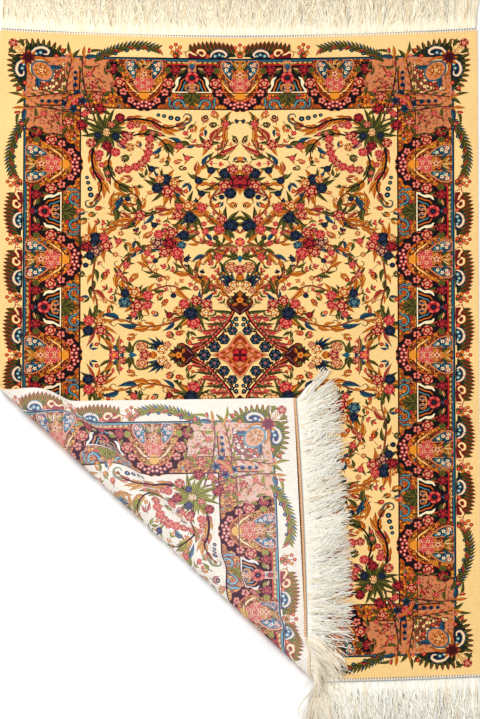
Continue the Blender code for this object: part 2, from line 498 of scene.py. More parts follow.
def border_half(pen, k, reach, last=False):
    """Half a unit of the main border, from its basket's axis to its rosette's. Points are (along, inwards).

    k stretches it along the border, and reach is where it ends. The last half before a corner ends with
    its garland.
    """
    at, path = places_along(k)
    # the garland's path and the widths of its black band
    spine = path(111j, 16 + 109j, 33 + 99j, 47 + 82j, 54 + 61j, 60 + 44j, 69 + 31j)
    widths = (20, 19, 18, 18, 18, 20, 14)
    line = curve(spine, 2)
    if last:
        pen.fill(path(0, 80, 78 + 26j, 64 + 44j, 44 + 68j, 26 + 88j, 104j), BROCADE, BUSY)
    else:
        # round the rosette: amber lozenges over a teal band, then the black lobe
        pen.fill(path(46, reach, reach + 13j, 46 + 13j), "brown")
        pen.fill(path(46, reach, reach + 5.4j, 46 + 5.4j), "teal")
        for n in range(5):
            leaf(pen, at(52 + 11.5 * n, 8.6), 10, 9.5, 5.6, ("amber", "olive", "gold"), 0)
        pen.fill(path(reach + 80j, 62 + 80j, 58 + 68j, 46 + 18j, 54 + 12j, reach + 12j), "red")
        pen.fill(path(reach + 80j, 63 + 80j, 59 + 68j, 47 + 22j, 56 + 15j, reach + 15j), "black")
        for points, size, tones in (
            (
                path(66 + 79j, 69 + 70j, 74 + 60j, 75 + 49j, 83 + 42j), (6, 9, 11, 11, 3),
                ("cream", "navy", "cream"),
            ),
            (
                path(77 + 79j, 79 + 70j, 83 + 62j, 85 + 52j, 93 + 46j), (3, 4.4, 4.4, 4, 2),
                ("orange", "maroon", "orange"),
            ),
            (
                path(84 + 79j, 86 + 72j, 90 + 64j, 92 + 56j, 99 + 52j), (3, 4.6, 4.6, 4, 2),
                ("teal", "black", "aqua"),
            ),
        ):
            pen.stroke(points, 2, size, tones)
        pen.fill(path(64 + 80j, 64 + 76.6j, reach + 76.6j, reach + 80j), "cream")
        rose(pen, at(100, 67), 8.4, "blush")
        leaf(pen, at(100, 74), -90, 12, 6, TEAL, 0)
        blossom(pen, at(106, 58), 4.2, "amber", "cream", "maroon")
        leaf(pen, at(94, 27), 150, 20, 8.5, OLIVE, 20)
        leaf(pen, at(97, 22), 176, 17, 6.5, ("orange", "maroon", "gold"), -16)
        pen.fill(path(0, 48, 50 + 24j, 54 + 44j, 44 + 68j, 26 + 88j, 104j), BROCADE, BUSY)
    pen.ribbon(line, [w + 5 for w in widths], "orange")
    pen.ribbon(line, [w + 2.4 for w in widths], "red")
    pen.ribbon(line, widths, "black")
    for t, s, r in ((8, 119, 5), (25, 113, 6), (42, 101, 7), (55, 82, 8), (63, 62, 9)):
        pen.blob(at(t, s), r, "black", sides=7)
    if last:
        pen.blob(at(71, 24), 15, "black", sides=9)
    # the garland's flowers
    leaf(pen, at(64, 38), 60, 18, 7, GREEN, 20)
    pen.blob(at(55, 27), 8, OLIVE, sides=8, kind=ROSE)
    leaf(pen, at(46, 60), 52, 15, 6, OLIVE, 10)
    rose(pen, at(71, 26), 11.6, "dark", 30)
    rose(pen, at(56, 57), 12.8, "red", 10)
    for t, s, r in ((47, 79, 9), (30, 98, 8)):
        blossom(pen, at(t, s), r, "rosy", "wine", "maroon", t)
    for t, s in ((12, 106), (4.5, 111), (14, 115), (5, 102), (21, 107)):
        blossom(pen, at(t, s), 4.2, "pink", "cream", "plum")
    paisley(pen, k)


def paisley(pen, k):
    """A paisley with florets, in its rims. Points are (along, inwards)."""
    at, path = places_along(k)
    body = curve(
        path(20 + 3j, 36 + 2j, 44 + 12j, 41 + 27j, 32 + 42j, 20 + 54j, 16 + 44j, 18 + 30j, 15 + 15j), 2,
    )
    centre = at(29, 24)
    for share, tone in ((1.12, "maroon"), (1.05, "salmon"), (0.86, "maroon")):
        pen.fill([centre + (p - centre) * share for p in body], tone)
    pen.fill([centre + (p - centre) * 0.79 for p in body], SKY, BUSY)
    for t, s, r in ((35, 13, 4.8), (26, 16, 4.2), (31, 25, 4.6), (25, 35, 4.0)):
        blossom(pen, at(t, s), r, "cream", "red", "navy", t * 9)
    pen.ribbon(spiral(at(35, 12), 8, 20, 300, 0.35, 6), (1.5, 3.4, 2.4, 1), ("rosy", "maroon", "salmon"))
    for t, s, tone in ((46, 40, "amber"), (39, 53, "amber"), (30, 62, "salmon")):
        blossom(pen, at(t, s), 4.4, tone, "wine", "maroon")


def border_unit(pen, k, reach, last=False):
    """A basket of flowers within its garland, and half of the rosettes at both its ends."""
    for half, end in zip(pen.both(), (last, False)):
        border_half(half, k, reach, end)
    # fan, vase and basket on the axis
    for angle in (-66, 66, -34, 34, 0):
        leaf(pen, 27j, -90 + angle, 26, 10, GILT if angle in (0, 34, -34) else TEAL, 0)
    for half in pen.both():
        leaf(half, 5 + 27j, -40, 19, 7.5, GREEN, -20)
        leaf(half, 8 + 34j, 0, 12, 6, OLIVE, 0)
    pen.blob(37j, 15.5, ("salmon", "maroon", "orange"), sides=12, kind=BLOSSOM)
    for a in range(0, 360, 60):
        blossom(pen, 37j + polar(11.5, a + 30), 4.2, "orange" if a % 120 else "amber", "wine", "maroon")
    blossom(pen, 37j, 7.4, "blush", "wine", "brown")
    for row, s in ((4, 50), (5, 58), (4, 66), (3, 74)):
        for j in range(row):
            tone = ("blush", "pink", "rosy")[(j + row) % 3]
            blossom(pen, complex((j - (row - 1) / 2) * 8.6, s), 5.4, tone, "red", "wine", j * 30)
    for half in pen.both():
        half.stroke([4 + 85j, 15 + 81j, 24 + 73j, 29 + 65j, 37 + 56j], 3, (5, 9, 6, 8, 3), BRASS)
    pen.blob(85j, 11, BRASS, sides=12)
    pen.blob(85j, 9.2, "amber", sides=12)


def rosette_column(pen):
    """The rosette between two garlands, with its palmette."""
    for half in pen.both():
        leaf(half, 4 + 9j, 14, 13, 7, GILT, 0)
        leaf(half, 10 + 58j, 60, 15, 6, AMBER, 20)
    pen.fill([-7 + 19j, 7 + 19j, 30j], SKY)
    leaf(pen, 18j, -90, 16, 8, GILT, 0)
    pen.blob(18j, 7, ("wine", "maroon", "red"), sides=8, kind=ROSE)
    rose(pen, 44j, 15.0, "pink", 12)
    pen.blob(44j, 6.6, ("black", "black", "blue"), sides=9, kind=BLOSSOM)


def inner_strip(pen, k):
    """The strip between the middle and inner lines, round a rosette's axis; k stretches it."""
    for half in pen.both():
        for angle, size in ((4, 22), (26, 30), (48, 34), (70, 36), (90, 37)):
            leaf(half, BAND * 1j, angle, size, 10, GREEN if angle % 48 else OLIVE, -14)
        for path, widths in (
            (
                curve(
                    [9 + 115j, 17 + 110j, 20 + 101j, 30 + 96j, 40 + 101j, 41 + 111j, 33 + 115j, 28 + 109j],
                    2,
                ),
                (2, 7, 8, 7, 7, 6, 5, 2),
            ),
            (
                curve([44 + 116j, 52 + 108j, 50 + 98j, 58 + 90j, 67 + 94j, 66 + 102j], 2),
                (2, 6, 6.5, 6, 5, 2),
            ),
        ):
            half.ribbon([complex(z.real * k, z.imag) for z in path], widths, SKY)
        for t, s, r, tone in (
            (33, 105, 6, "orange"), (60, 98, 5, "amber"), (23, 91, 4.4, "crimson"), (48, 88, 4.4, "salmon"),
            (12, 108, 4, "amber"),
        ):
            blossom(half, complex(t * k, s), r, tone, "wine", "maroon", t)


def guard_unit(pen, length):
    """One run of the guard, from one sprig to the next. Points are (along, outwards)."""
    pen.patch(
        [8 + 5j, 18 + 20j, 40 + 29j, 66 + 31j, 92 + 27j, 108 + 12j, 104 + 3j, 60 + 3j, 8 + 5j], 2, "forest",
    )
    for n in range(11):
        t = 12 + 8.6 * n
        o = 12 + 8 * math.sin(math.pi * (n + 0.5) / 11)
        leaf(pen, complex(t - 3, o), 62, 26, 9, EMBER, 8)
        leaf(pen, complex(t, o - 3), 66, 25, 9.5, GREEN, 8)
    # an amber scroll on wine, then a blush one on navy with aqua florets
    pen.patch(
        [110 + 2j, 115 + 12j, 107 + 20j, 96 + 19j, 90 + 25j, 76 + 24j, 68 + 14j, 72 + 2j, 110 + 2j], 2,
        "wine",
    )
    pen.stroke(
        [
            108 + 3j, 111 + 12j, 104 + 16j, 97 + 11j, 90 + 12j, 87 + 20j, 77 + 20j, 73 + 12j, 79 + 7j,
            84 + 11j,
        ],
        2, (4, 8, 8, 7, 9, 9, 9, 7, 4), ("amber", "brown", "cream"),
    )
    pen.patch([22 + 2j, 25 + 15j, 36 + 23j, 50 + 23j, 61 + 14j, 64 + 2j, 22 + 2j], 2, "navy")
    pen.stroke([62 + 4j, 58 + 14j, 47 + 20j, 35 + 18j, 28 + 10j, 33 + 5j], 2, (4, 7, 8, 7, 4), PEARL)
    for t, o, r in ((52, 7, 4.4), (43, 10, 4.0), (36, 7, 3.4)):
        blossom(pen, complex(t, o), r, "aqua", "cream", "teal")
    blossom(pen, 67 + 7j, 5, "crimson", "amber", "maroon")
    for base in (0, length):
        for angle, size in ((90, 30), (118, 26), (62, 26), (146, 17), (34, 17)):
            tip = complex(base, 3) + polar(size, angle)
            pen.ribbon([complex(base, 3), tip], (1.6, 1.2), "maroon")
            leaf(pen, complex(base, 3), angle + 14, size * 0.62, 5, GREEN, 10)
        for t, o, r, tone in (
            (0, 33, 4.6, "red"), (-9, 27, 4.6, "orange"), (10, 27, 4.6, "crimson"),
            (-3, 20, 4.8, "crimson"), (7, 16, 4.6, "orange"), (-9, 13, 4.8, "pink"), (2, 7, 5.2, "red"),
        ):
            blossom(pen, complex(base + t, o), r, tone, "amber", "maroon", t * 20)


def foliage(pen, spots, angle, turn, length):
    """A row of green leaves with red tips; its angle turns by an equal step at each."""
    for n, z in enumerate(spots):
        heading = angle + turn * n
        leaf(pen, z, heading - 6, length * 1.1, length * 0.42, EMBER, 8)
        leaf(pen, z, heading, length, length * 0.40, GREEN, 8)


def corner_halves(pen):
    """The corner's pen and its mirror image across the diagonal."""
    return pen, pen.at(0, 90, 1, True)


def corner_foliage(half):
    """Foliage, two scrolls and florets round the corner."""
    half.fill(
        [131 + 46j, 110 + 32j, 82 + 24j, 56 + 26j, 50 + 40j, 60 + 56j, 100 + 56j, 126 + 54j], "forest",
    )
    foliage(
        half,
        (128 + 50j, 119 + 44j, 110 + 39j, 100 + 36j, 90 + 34j, 80 + 33j, 70 + 33j, 60 + 34j, 50 + 34j), 300,
        -7, 19,
    )
    half.patch([60 + 54j, 68 + 36j, 88 + 30j, 106 + 38j, 104 + 52j, 84 + 56j, 60 + 54j], 2, "navy")
    half.stroke([62 + 50j, 74 + 37j, 90 + 34j, 101 + 41j, 98 + 49j, 90 + 49j], 2, (4, 8, 9, 8, 5, 3), PEARL)
    blossom(half, 84 + 46j, 4.4, "aqua", "cream", "teal")
    blossom(half, 75 + 49j, 3.8, "aqua", "cream", "teal")
    half.ribbon(spiral(46 + 37j, 9, 240, -320, 0.3, 8), (3, 6, 5, 4, 2), BRASS)
    leaf(half, 68 + 58j, 8, 40, 14, AMBER, 10)
    leaf(half, 70 + 66j, 350, 30, 10, ("orange", "maroon", "gold"), 20)
    leaf(half, 100 + 82j, 338, 32, 12, TEAL, 34)
    leaf(half, 34 + 24j, 350, 20, 8, GREEN, -16)
    for z, r, tone in (
        (130 + 38j, 5, "red"), (117 + 52j, 5, "crimson"), (140 + 50j, 4.4, "pink"),
        (124 + 62j, 4, "orange"), (128 + 84j, 4, "red"), (118 + 98j, 4.4, "crimson"),
    ):
        blossom(half, z, r, tone, "amber", "maroon")


def corner_stems(half):
    """A long leaf with navy florets between two leafy stems, then buds and roses."""
    leaf(half, 164 + 166j, 272, 92, 26, ("terra", "maroon", "orange"), 0)
    for path in (
        [200 + 200j, 188 + 165j, 179 + 138j, 172 + 99j, 171 + 62j, 176 + 44j],
        [180 + 190j, 150 + 162j, 138 + 132j, 141 + 104j, 146 + 77j, 150 + 48j],
    ):
        path = curve(path, 3)
        half.ribbon(path, (3.6, 3, 2.4), ("maroon", "black", "plum"))
        for k in range(4, len(path) - 2):
            heading = bearing(path[k], path[k + 1])
            side = 1 if k % 2 else -1
            leaf(half, path[k], heading + side * 36, 17, 6, LEAVES[k % 4], -side * 14)
    for z, angle, size, width, tones, lean in (
        (176 + 54j, 340, 30, 11, TEAL, 10), (180 + 42j, 336, 38, 8, OLIVE, 20),
        (173 + 52j, 276, 28, 8, AMBER, 0),
        (172 + 72j, 20, 36, 8, OLIVE, -40), (150 + 56j, 300, 28, 9, GREEN, 10),
        (149 + 50j, 244, 34, 8, OLIVE, 20),
        (150 + 60j, 262, 26, 7, AMBER, -10), (198 + 62j, 320, 20, 6, GREEN, 20),
    ):
        leaf(half, z, angle, size, width, tones, lean)
    for z, angle, size, family in (
        (186 + 42j, 270, 13, "red"), (208 + 50j, 290, 12, "red"), (222 + 68j, 300, 10, "pink"),
    ):
        half.ribbon([z, z - polar(9, angle + 20)], (1.4, 1.2), "maroon")
        bud(half, z, angle, size, family)
    for z, r in ((157 + 88j, 4.4), (157 + 102j, 5.2), (157 + 117j, 6), (161 + 135j, 8), (172 + 153j, 8.6)):
        blossom(half, z, r, "navy", "black", "teal")
    for z, r, family in (
        (208 + 171j, 13, "dark"), (203 + 143j, 11, "red"), (195 + 116j, 10, "red"), (186 + 91j, 7, "pink"),
        (210 + 104j, 6, "blush"), (216 + 128j, 5.6, "pink"), (183 + 176j, 8, "pink"),
    ):
        leaf(half, z, 20, r * 2.2, r * 0.8, GREEN)
        leaf(half, z, 140, r * 2.0, r * 0.8, OLIVE)
        rose(half, z, r, family)
    for z, angle, tones in (
        (196 + 70j, 100, SALMON), (224 + 92j, 240, GREEN), (232 + 118j, 70, GREEN),
        (200 + 100j, 30, SALMON), (214 + 142j, 320, GREEN),
        (190 + 134j, 120, OLIVE), (236 + 76j, 150, SALMON), (206 + 122j, 200, SALMON),
        (222 + 60j, 60, GREEN), (240 + 100j, 100, SALMON),
    ):
        leaf(half, z, angle, 21, 8, tones, 14)


def corner_plume(half):
    """The plume beyond the last border unit."""
    plume = curve([60 + 196j, 44 + 214j, 30 + 240j, 21 + 272j, 20 + 302j, 27 + 332j], 4)
    for k in range(1, len(plume) - 1):
        heading = bearing(plume[k - 1], plume[k + 1])
        leaf(half, plume[k], heading - 24, 24, 8, (GREEN, OLIVE, GREEN, SALMON)[k % 4], -16)
        leaf(half, plume[k], heading + 30, 17, 6, (GREEN, GREEN, TEAL)[k % 3], 16)
    half.ribbon(plume, (4, 3, 2), ("forest", "black", "olive"))
    for k, r in ((5, 5), (8, 5), (11, 4.6), (14, 4), (17, 4)):
        blossom(half, plume[k] + 11, r, "navy", "aqua", "black")


def corner_heart(pen):
    """The salmon oval with its orange rose, the dark star and the roses on the diagonal."""
    for a in (150, 190, 225, 260, 300):
        leaf(pen, 62 + 62j, a, 24, 10, AMBER, 0)
    pen.blob(88 + 88j, 21, "teal", sides=14, long=1.3, angle=45)
    pen.blob(88 + 88j, 18.2, "salmon", sides=14, long=1.3, angle=45)
    for a in range(0, 360, 45):
        leaf(pen, 86 + 86j + polar(7, a), a, 12, 7, AMBER, 0)
    rose(pen, 86 + 86j, 11, "orange")
    for a in range(0, 360, 45):
        leaf(pen, 58 + 58j, a + 22, 17, 9, ("wine", "maroon", "wine"), 0)
    pen.blob(58 + 58j, 9, "maroon", sides=8)
    rose(pen, 27 + 27j, 10.5, "red")
    rose(pen, 152 + 152j, 12, "pink")
    for half in corner_halves(pen):
        rose(half, 166 + 142j, 6, "pink")
        leaf(half, 150 + 150j, 320, 24, 9, AMBER)


def corner_scrolls(half):
    """Acanthus scrolls from the bouquet, along the inner line and into the field."""
    acanthus(
        half, curve([236 + 204j, 276 + 192j, 314 + 196j, 346 + 212j, 374 + 204j, 392 + 188j], 3), 38,
        (AMBER, SALMON, AMBER), 1, 10, 30,
    )
    half.stroke(
        [380 + 206j, 396 + 196j, 397 + 182j, 386 + 179j, 382 + 187j], 3, (4, 5, 4, 3, 2),
        ("olive", "black", "teal"),
    )
    acanthus(
        half, curve([262 + 236j, 300 + 226j, 336 + 240j, 352 + 268j, 346 + 296j], 3), 32,
        (GREEN, AMBER, OLIVE), -1, 9, 34,
    )
    for z, r in ((356 + 188j, 6), (342 + 184j, 5), (370 + 190j, 6.4), (330 + 182j, 4.6)):
        blossom(half, z, r, "navy", "aqua", "black")
    for z, r, family in (
        (300 + 212j, 7, "pink"), (318 + 224j, 6, "red"), (286 + 206j, 7.6, "red"), (334 + 226j, 5, "pink"),
    ):
        rose(half, z, r, family)


def corner_bouquet(pen):
    """Long leaves, tulips, roses and a ring of smaller roses."""
    centre = 222 + 222j
    for n, a in enumerate(range(0, 360, 20)):
        leaf(pen, centre + polar(5, a), a, (52, 38)[n % 2], (11, 9)[n % 2], (GREEN, OLIVE)[n % 2], 12)
    for z, angle, size, family in (
        (250 + 226j, 10, 26, "dark"), (226 + 250j, 80, 26, "dark"), (244 + 244j, 45, 24, "plum"),
    ):
        bud(pen, z, angle, size, family)
    for z, r, family in (
        (268 + 233j, 11, "red"), (271 + 258j, 10, "orange"), (241 + 233j, 9.6, "navy"),
        (223 + 256j, 11, "dark"),
        (241 + 270j, 10.5, "pink"), (258 + 246j, 8, "pink"), (250 + 190j, 11, "dark"),
        (190 + 250j, 11, "red"),
        (272 + 208j, 9, "pink"), (208 + 274j, 9, "pink"), (222 + 226j, 8, "gold"), (232 + 206j, 8, "red"),
        (204 + 232j, 8, "navy"),
    ):
        rose(pen, z, r, family)
    ring = curve([312 + 238j, 311 + 262j, 304 + 284j, 290 + 299j, 266 + 309j, 240 + 312j], 3)
    for k, z in enumerate(ring):
        leaf(pen, z, 50 * k, 15, 6, LEAVES[k % 3])
    for k, z in enumerate(ring):
        if k % 2 == 0:
            rose(pen, z, 9.8, ("pink", "red", "pink")[k // 2 % 3], 40 * k)


def corner_piece(pen):
    """The corner, mirrored on its diagonal. Points are distances from the side and from the end."""
    pen.fill([134 + 66j, 138 + 138j, 66 + 134j, 88 + 88j], ("clay", "maroon", "gold"), BUSY)
    for half in corner_halves(pen):
        corner_foliage(half)
        corner_stems(half)
        corner_plume(half)
    corner_heart(pen)
    for half in corner_halves(pen):
        corner_scrolls(half)
    corner_bouquet(pen)


def line_round(chart, inset, thick, tone):
    """One line along the side and the end of the quarter, its outer edge inset from theirs."""
    x, y = chart.width - inset, chart.height - inset
    outer = [complex(x, -9), complex(x, y), complex(-9, y)]
    inner = [complex(-9, y - thick), complex(x - thick, y - thick)]
    chart.add([complex(x - thick, -9)] + outer + inner, (tone,) * 3)


def lines(chart):
    """The three border lines, and the teal one inside the outer."""
    line_round(chart, OUTER - 1.2, 3.4, "black")
    line_round(chart, MID - 1, 2.0, "maroon")
    line_round(chart, INNER - 1.4, 2.8, "black")
    line_round(chart, OUTER + 1.4, 2.2, "teal")


def grounds(chart):
    """The grounds of the main border, the inner strip and the field."""
    for inset, tones, kind in ((OUTER, MEADOW, CALM), (MID, DAMASK, BUSY), (INNER, ("gold",) * 3, PLAIN)):
        x, y = chart.width - inset, chart.height - inset
        chart.add([0, x, complex(x, y), complex(0, y)], tones, kind)


def vine(pen, points, seed, size=23):
    """A winding stem with leaves, buds and tendrils to either side."""
    rnd = random.Random(seed)
    path = curve(points, 4)
    pen.ribbon(path, (4.8, 4.2, 3.4), ("rust", "black", "clay"))
    side = 1
    for k in range(1, len(path) - 1):
        side = -side
        heading = bearing(path[k - 1], path[k + 1])
        long = size * rnd.choice((0.9, 1.1, 1.35, 1.75))
        tones = rnd.choice((GREEN, AMBER, AMBER, AMBER, OLIVE, SALMON, SALMON, TEAL))
        what = rnd.random()
        if what < 0.72:
            leaf(pen, path[k], heading + side * rnd.uniform(24, 52), long, long * 0.34, tones, -side * 34)
        elif what < 0.84:
            family = rnd.choice(("red", "pink", "orange", "navy"))
            sprig(pen, path[k], heading + side * 50, long, 2, family, "maroon", 46, 8)
        elif what < 0.92:
            tip = path[k] + polar(long * 0.6, heading + side * 70)
            pen.ribbon(curve([path[k], path[k] + (tip - path[k]) * 0.6, tip], 2), (1.6, 1.4, 1.2), "maroon")
            rose(pen, tip, 6.4, rnd.choice(("red", "pink", "navy", "orange")))
        else:
            centre = path[k] + polar(9, heading + side * 90)
            turn = spiral(centre, 9, heading - side * 90, side * 260, 0.4, 6)
            pen.ribbon(turn, (2.4, 2.0, 1.4), "maroon")
            leaf(pen, path[k], heading + side * 20, long * 0.7, long * 0.3, tones, side * 20)


# the points through which each vine runs, in millimetres from the middle of the rug
VINES = (
    (15 + 262j, 52 + 244j, 88 + 214j, 92 + 186j, 70 + 170j),
    (96 + 98j, 78 + 140j, 84 + 172j, 112 + 196j, 128 + 226j, 140 + 258j),
    (22 + 225j, 60 + 262j, 92 + 262j, 122 + 300j, 104 + 338j),
    (104 + 338j, 150 + 336j, 190 + 322j, 226 + 312j, 262 + 330j, 252 + 352j, 232 + 344j),
    (208 + 322j, 206 + 350j, 222 + 372j, 250 + 360j, 262 + 330j),
    (208 + 322j, 238 + 300j, 262 + 296j, 286 + 280j, 296 + 250j),
    (40 + 320j, 62 + 352j, 46 + 384j, 28 + 400j),
    (28 + 400j, 62 + 392j, 92 + 416j, 70 + 446j, 40 + 470j, 24 + 500j),
    (104 + 338j, 128 + 362j, 154 + 386j, 172 + 420j),
    (68 + 488j, 40 + 520j, 24 + 552j),
    (68 + 488j, 104 + 486j, 140 + 492j, 172 + 476j),
    (140 + 258j, 176 + 258j, 208 + 242j, 236 + 222j, 252 + 190j, 232 + 160j, 216 + 126j),
    (96 + 98j, 150 + 72j, 200 + 66j, 250 + 82j, 300 + 68j),
    (216 + 126j, 180 + 150j, 146 + 160j, 118 + 150j),
    (296 + 250j, 302 + 210j, 306 + 160j, 296 + 116j, 300 + 68j),
    (300 + 68j, 276 + 44j, 262 + 14j),
    (140 + 258j, 112 + 282j, 104 + 310j),
    (154 + 178j, 186 + 196j, 196 + 220j),
    (44 + 300j, 66 + 318j, 104 + 338j),
    (20 + 130j, 44 + 160j, 40 + 190j),
)
# each sprig as (place, angle, length, pairs, family)
SPRIGS = (
    (30 + 176j, 50, 50, 4, "red"), (36 + 250j, 20, 44, 3, "pink"), (118 + 190j, 20, 44, 4, "red"),
    (24 + 108j, 52, 60, 5, "red"), (60 + 52j, 22, 50, 5, "red"), (40 + 84j, 40, 52, 4, "pink"),
    (190 + 92j, 350, 40, 3, "navy"), (262 + 300j, 10, 34, 3, "pink"), (60 + 214j, 120, 36, 3, "red"),
    (20 + 442j, 60, 46, 3, "red"), (140 + 432j, 40, 44, 3, "orange"), (120 + 300j, 340, 40, 3, "navy"),
    (248 + 136j, 30, 36, 3, "pink"), (208 + 268j, 70, 34, 3, "navy"), (150 + 320j, 280, 30, 3, "pink"),
    (100 + 492j, 60, 40, 3, "pink"),
)
# where each bouquet stands, and its flowers as (x, y, radius, family)
BOUQUETS = {
    96 + 98j: (
        (-4, 25, 10.5, "red"), (-24, 18, 11, "red"), (18, 18, 10.5, "pink"), (-22, 0, 10.5, "gold"),
        (28, 3, 10.5, "orange"), (0, -21, 13, "pink"), (5, -2, 13.5, "navy"),
    ),
    146 + 256j: (
        (-26, 18, 11, "navy"), (-4, 24, 11, "red"), (20, 20, 10, "pink"), (22, 2, 11, "plum"),
        (-22, -2, 9, "teal"), (-14, -18, 12.5, "pink"), (10, -17, 11, "red"), (0, 2, 13, "dark"),
    ),
    216 + 128j: (
        (-22, 8, 10.5, "pink"), (2, 15, 12, "orange"), (-4, -13, 13, "red"), (21, -6, 12, "teal"),
        (-22, -12, 9, "pink"), (20, 13, 9, "navy"), (4, -30, 7, "pink"),
    ),
    300 + 254j: (
        (0, 12, 13, "navy"), (17, 12, 9, "orange"), (-20, -2, 12, "red"), (-2, -14, 11, "plum"),
        (17, -5, 11, "dark"), (10, -24, 9, "navy"), (-16, 14, 9, "pink"),
    ),
    154 + 390j: (
        (0, 14, 12, "navy"), (-16, 8, 10, "orange"), (-4, -10, 13, "red"), (16, -4, 11, "navy"),
        (12, 15, 9, "orange"),
    ),
    108 + 330j: (
        (-25, 10, 10, "pink"), (0, 14, 12, "orange"), (-4, -11, 12, "navy"), (19, -6, 11, "red"),
        (17, 12, 8, "pink"),
    ),
    302 + 68j: (
        (-10, 10, 10, "orange"), (10, 10, 11, "pink"), (-12, -10, 11, "red"), (11, -11, 11, "navy"),
    ),
    28 + 300j: (
        (-8, 0, 14, "navy"), (14, -8, 10, "pink"), (9, 13, 10, "red"),
    ),
    18 + 404j: (
        (-10, -2, 15, "dark"), (11, 15, 12, "navy"), (13, -11, 12, "red"), (-2, 24, 11, "red"),
        (2, -26, 12, "navy"),
    ),
}
SINGLE_ROSES = (
    (68 + 488j, 12.5, "red"), (208 + 322j, 12.5, "red"), (126 + 484j, 8, "pink"), (252 + 262j, 8, "pink"),
    (192 + 236j, 8.5, "pink"), (30 + 200j, 10, "navy"), (44 + 226j, 9, "pink"), (18 + 168j, 11, "orange"),
    (146 + 92j, 8, "dark"), (60 + 428j, 9, "navy"), (86 + 404j, 9, "navy"), (184 + 430j, 8, "navy"),
    (110 + 456j, 7, "pink"), (30 + 536j, 8, "pink"), (80 + 374j, 8, "navy"), (236 + 208j, 8, "pink"),
    (178 + 300j, 7, "navy"), (250 + 186j, 9, "red"), (72 + 286j, 8, "pink"),
)


def field(pen):
    """The field's vines, sprigs, bouquets and roses. Points are from the middle of the rug."""
    for n, path in enumerate(VINES):
        vine(pen, path, n)
    for z, angle, length, pairs, family in SPRIGS:
        sprig(pen, z, angle, length, pairs, family, "maroon", 40, 10, True)
    rnd = random.Random(7)
    for z, spots in BOUQUETS.items():
        star = []
        for a in range(0, 360, 30):
            angle, length, width = a + rnd.uniform(-13, 13), rnd.uniform(27, 44), rnd.uniform(8, 12)
            star.append((angle, length, width, rnd.choice((GREEN, GREEN, AMBER, AMBER, OLIVE, SALMON))))
        bouquet(pen, z, spots, star, 1.12)
    for z, r, family in SINGLE_ROSES:
        for a in (40, 160, 280):
            leaf(pen, z, a, r * 2.3, r * 0.85, LEAVES[int(a / 60) % 3])
        rose(pen, z, r, family)


def medallion_ribs(pen):
    """The ribs round the medallion, with long leaves and red twigs, and the roses along them."""
    for quarter in (pen, pen.mirrored()):
        ribs = curve([12 + 106j, 24 + 80j, 46 + 52j, 70 + 26j, 102 + 8j], 4)
        for k in range(1, len(ribs) - 1):
            if k % 2:
                tones = (GREEN, ("clay", "maroon", "pink"))[k // 2 % 2]
                leaf(quarter, ribs[k], -2 - 1.6 * k, 46, 9, tones, 14)
                sprig(quarter, ribs[k] + 6 - 3j, -20 - 1.6 * k, 36, 3, "red", "black", 26, 10)
            else:
                sprig(quarter, ribs[k], -14 - 1.2 * k, 40, 3, ("red", "pink")[k // 2 % 2], "maroon", 24, 9)
        quarter.ribbon(ribs, (9, 9, 7), ("maroon", "black", "orange"))
        quarter.ribbon([z - 7 - 5j for z in ribs[2:-3]], (2.4, 2.4), "black")
        for k in range(2, len(ribs) - 3):
            leaf(quarter, ribs[k] - 7 - 5j, 200 - 3 * k, 9, 4.4, SOOT, 0)
            bud(quarter, ribs[k] + 1, 300, 10, "red")
        for z in (8 + 82j, 7 + 70j, 16 + 76j):
            blossom(quarter, z, 5, "navy", "aqua", "black")
    # slate roses, with a dark edge and a red heart
    for quarter in pen.quarters():
        for z, r in ((74 + 0j, 12), (53 + 18.6j, 11.4), (33 + 36j, 10.6), (15.5 + 56j, 9.4)):
            quarter.blob(z, r * 1.14, "black", lobes=6, depth=0.08)
            rose(quarter, z, r, "slate", 30)
            quarter.blob(z, r * 0.2, "crimson", sides=5)
            leaf(quarter, z + 12, 30, 12, 6, GREEN, 10)
            leaf(quarter, z + 10j, 70, 11, 5, SOOT, 10)


def medallion(pen):
    """The medallion's outlines, each inside the one before, and its florets."""
    ring = [56, 36 + 11j, 24 + 19j, 17 + 30j, 10 + 42j, 51j]
    far_left = [complex(-z.real, z.imag) for z in ring[-2::-1]]
    near_left = [complex(-z.real, -z.imag) for z in ring[1:]]
    near_right = [complex(z.real, -z.imag) for z in ring[-2:0:-1]]
    edge = ring + far_left + near_left + near_right
    for share, tone in (
        (1.06, "maroon"), (1.02, "blush"), (0.98, "orange"), (0.90, "wine"), (0.86, "rust"),
        (0.77, "black"), (0.73, "orange"), (0.60, "black"), (0.55, "salmon"),
    ):
        pen.fill([z * share for z in edge], tone)
    for z in (40 + 0j, 32j, 27 + 10j, 15 + 22j):
        for quarter in pen.quarters():
            blossom(quarter, z, 5.2, "rosy", "amber", "maroon")
    for a in (45, 135, 225, 315):
        pen.blob(polar(9, a), 10, ("red", "maroon", "crimson"), sides=9, kind=BLOSSOM)
    for a in (0, 90, 180, 270):
        leaf(pen, 0, a, 14, 6, ("maroon", "black", "wine"), 0)


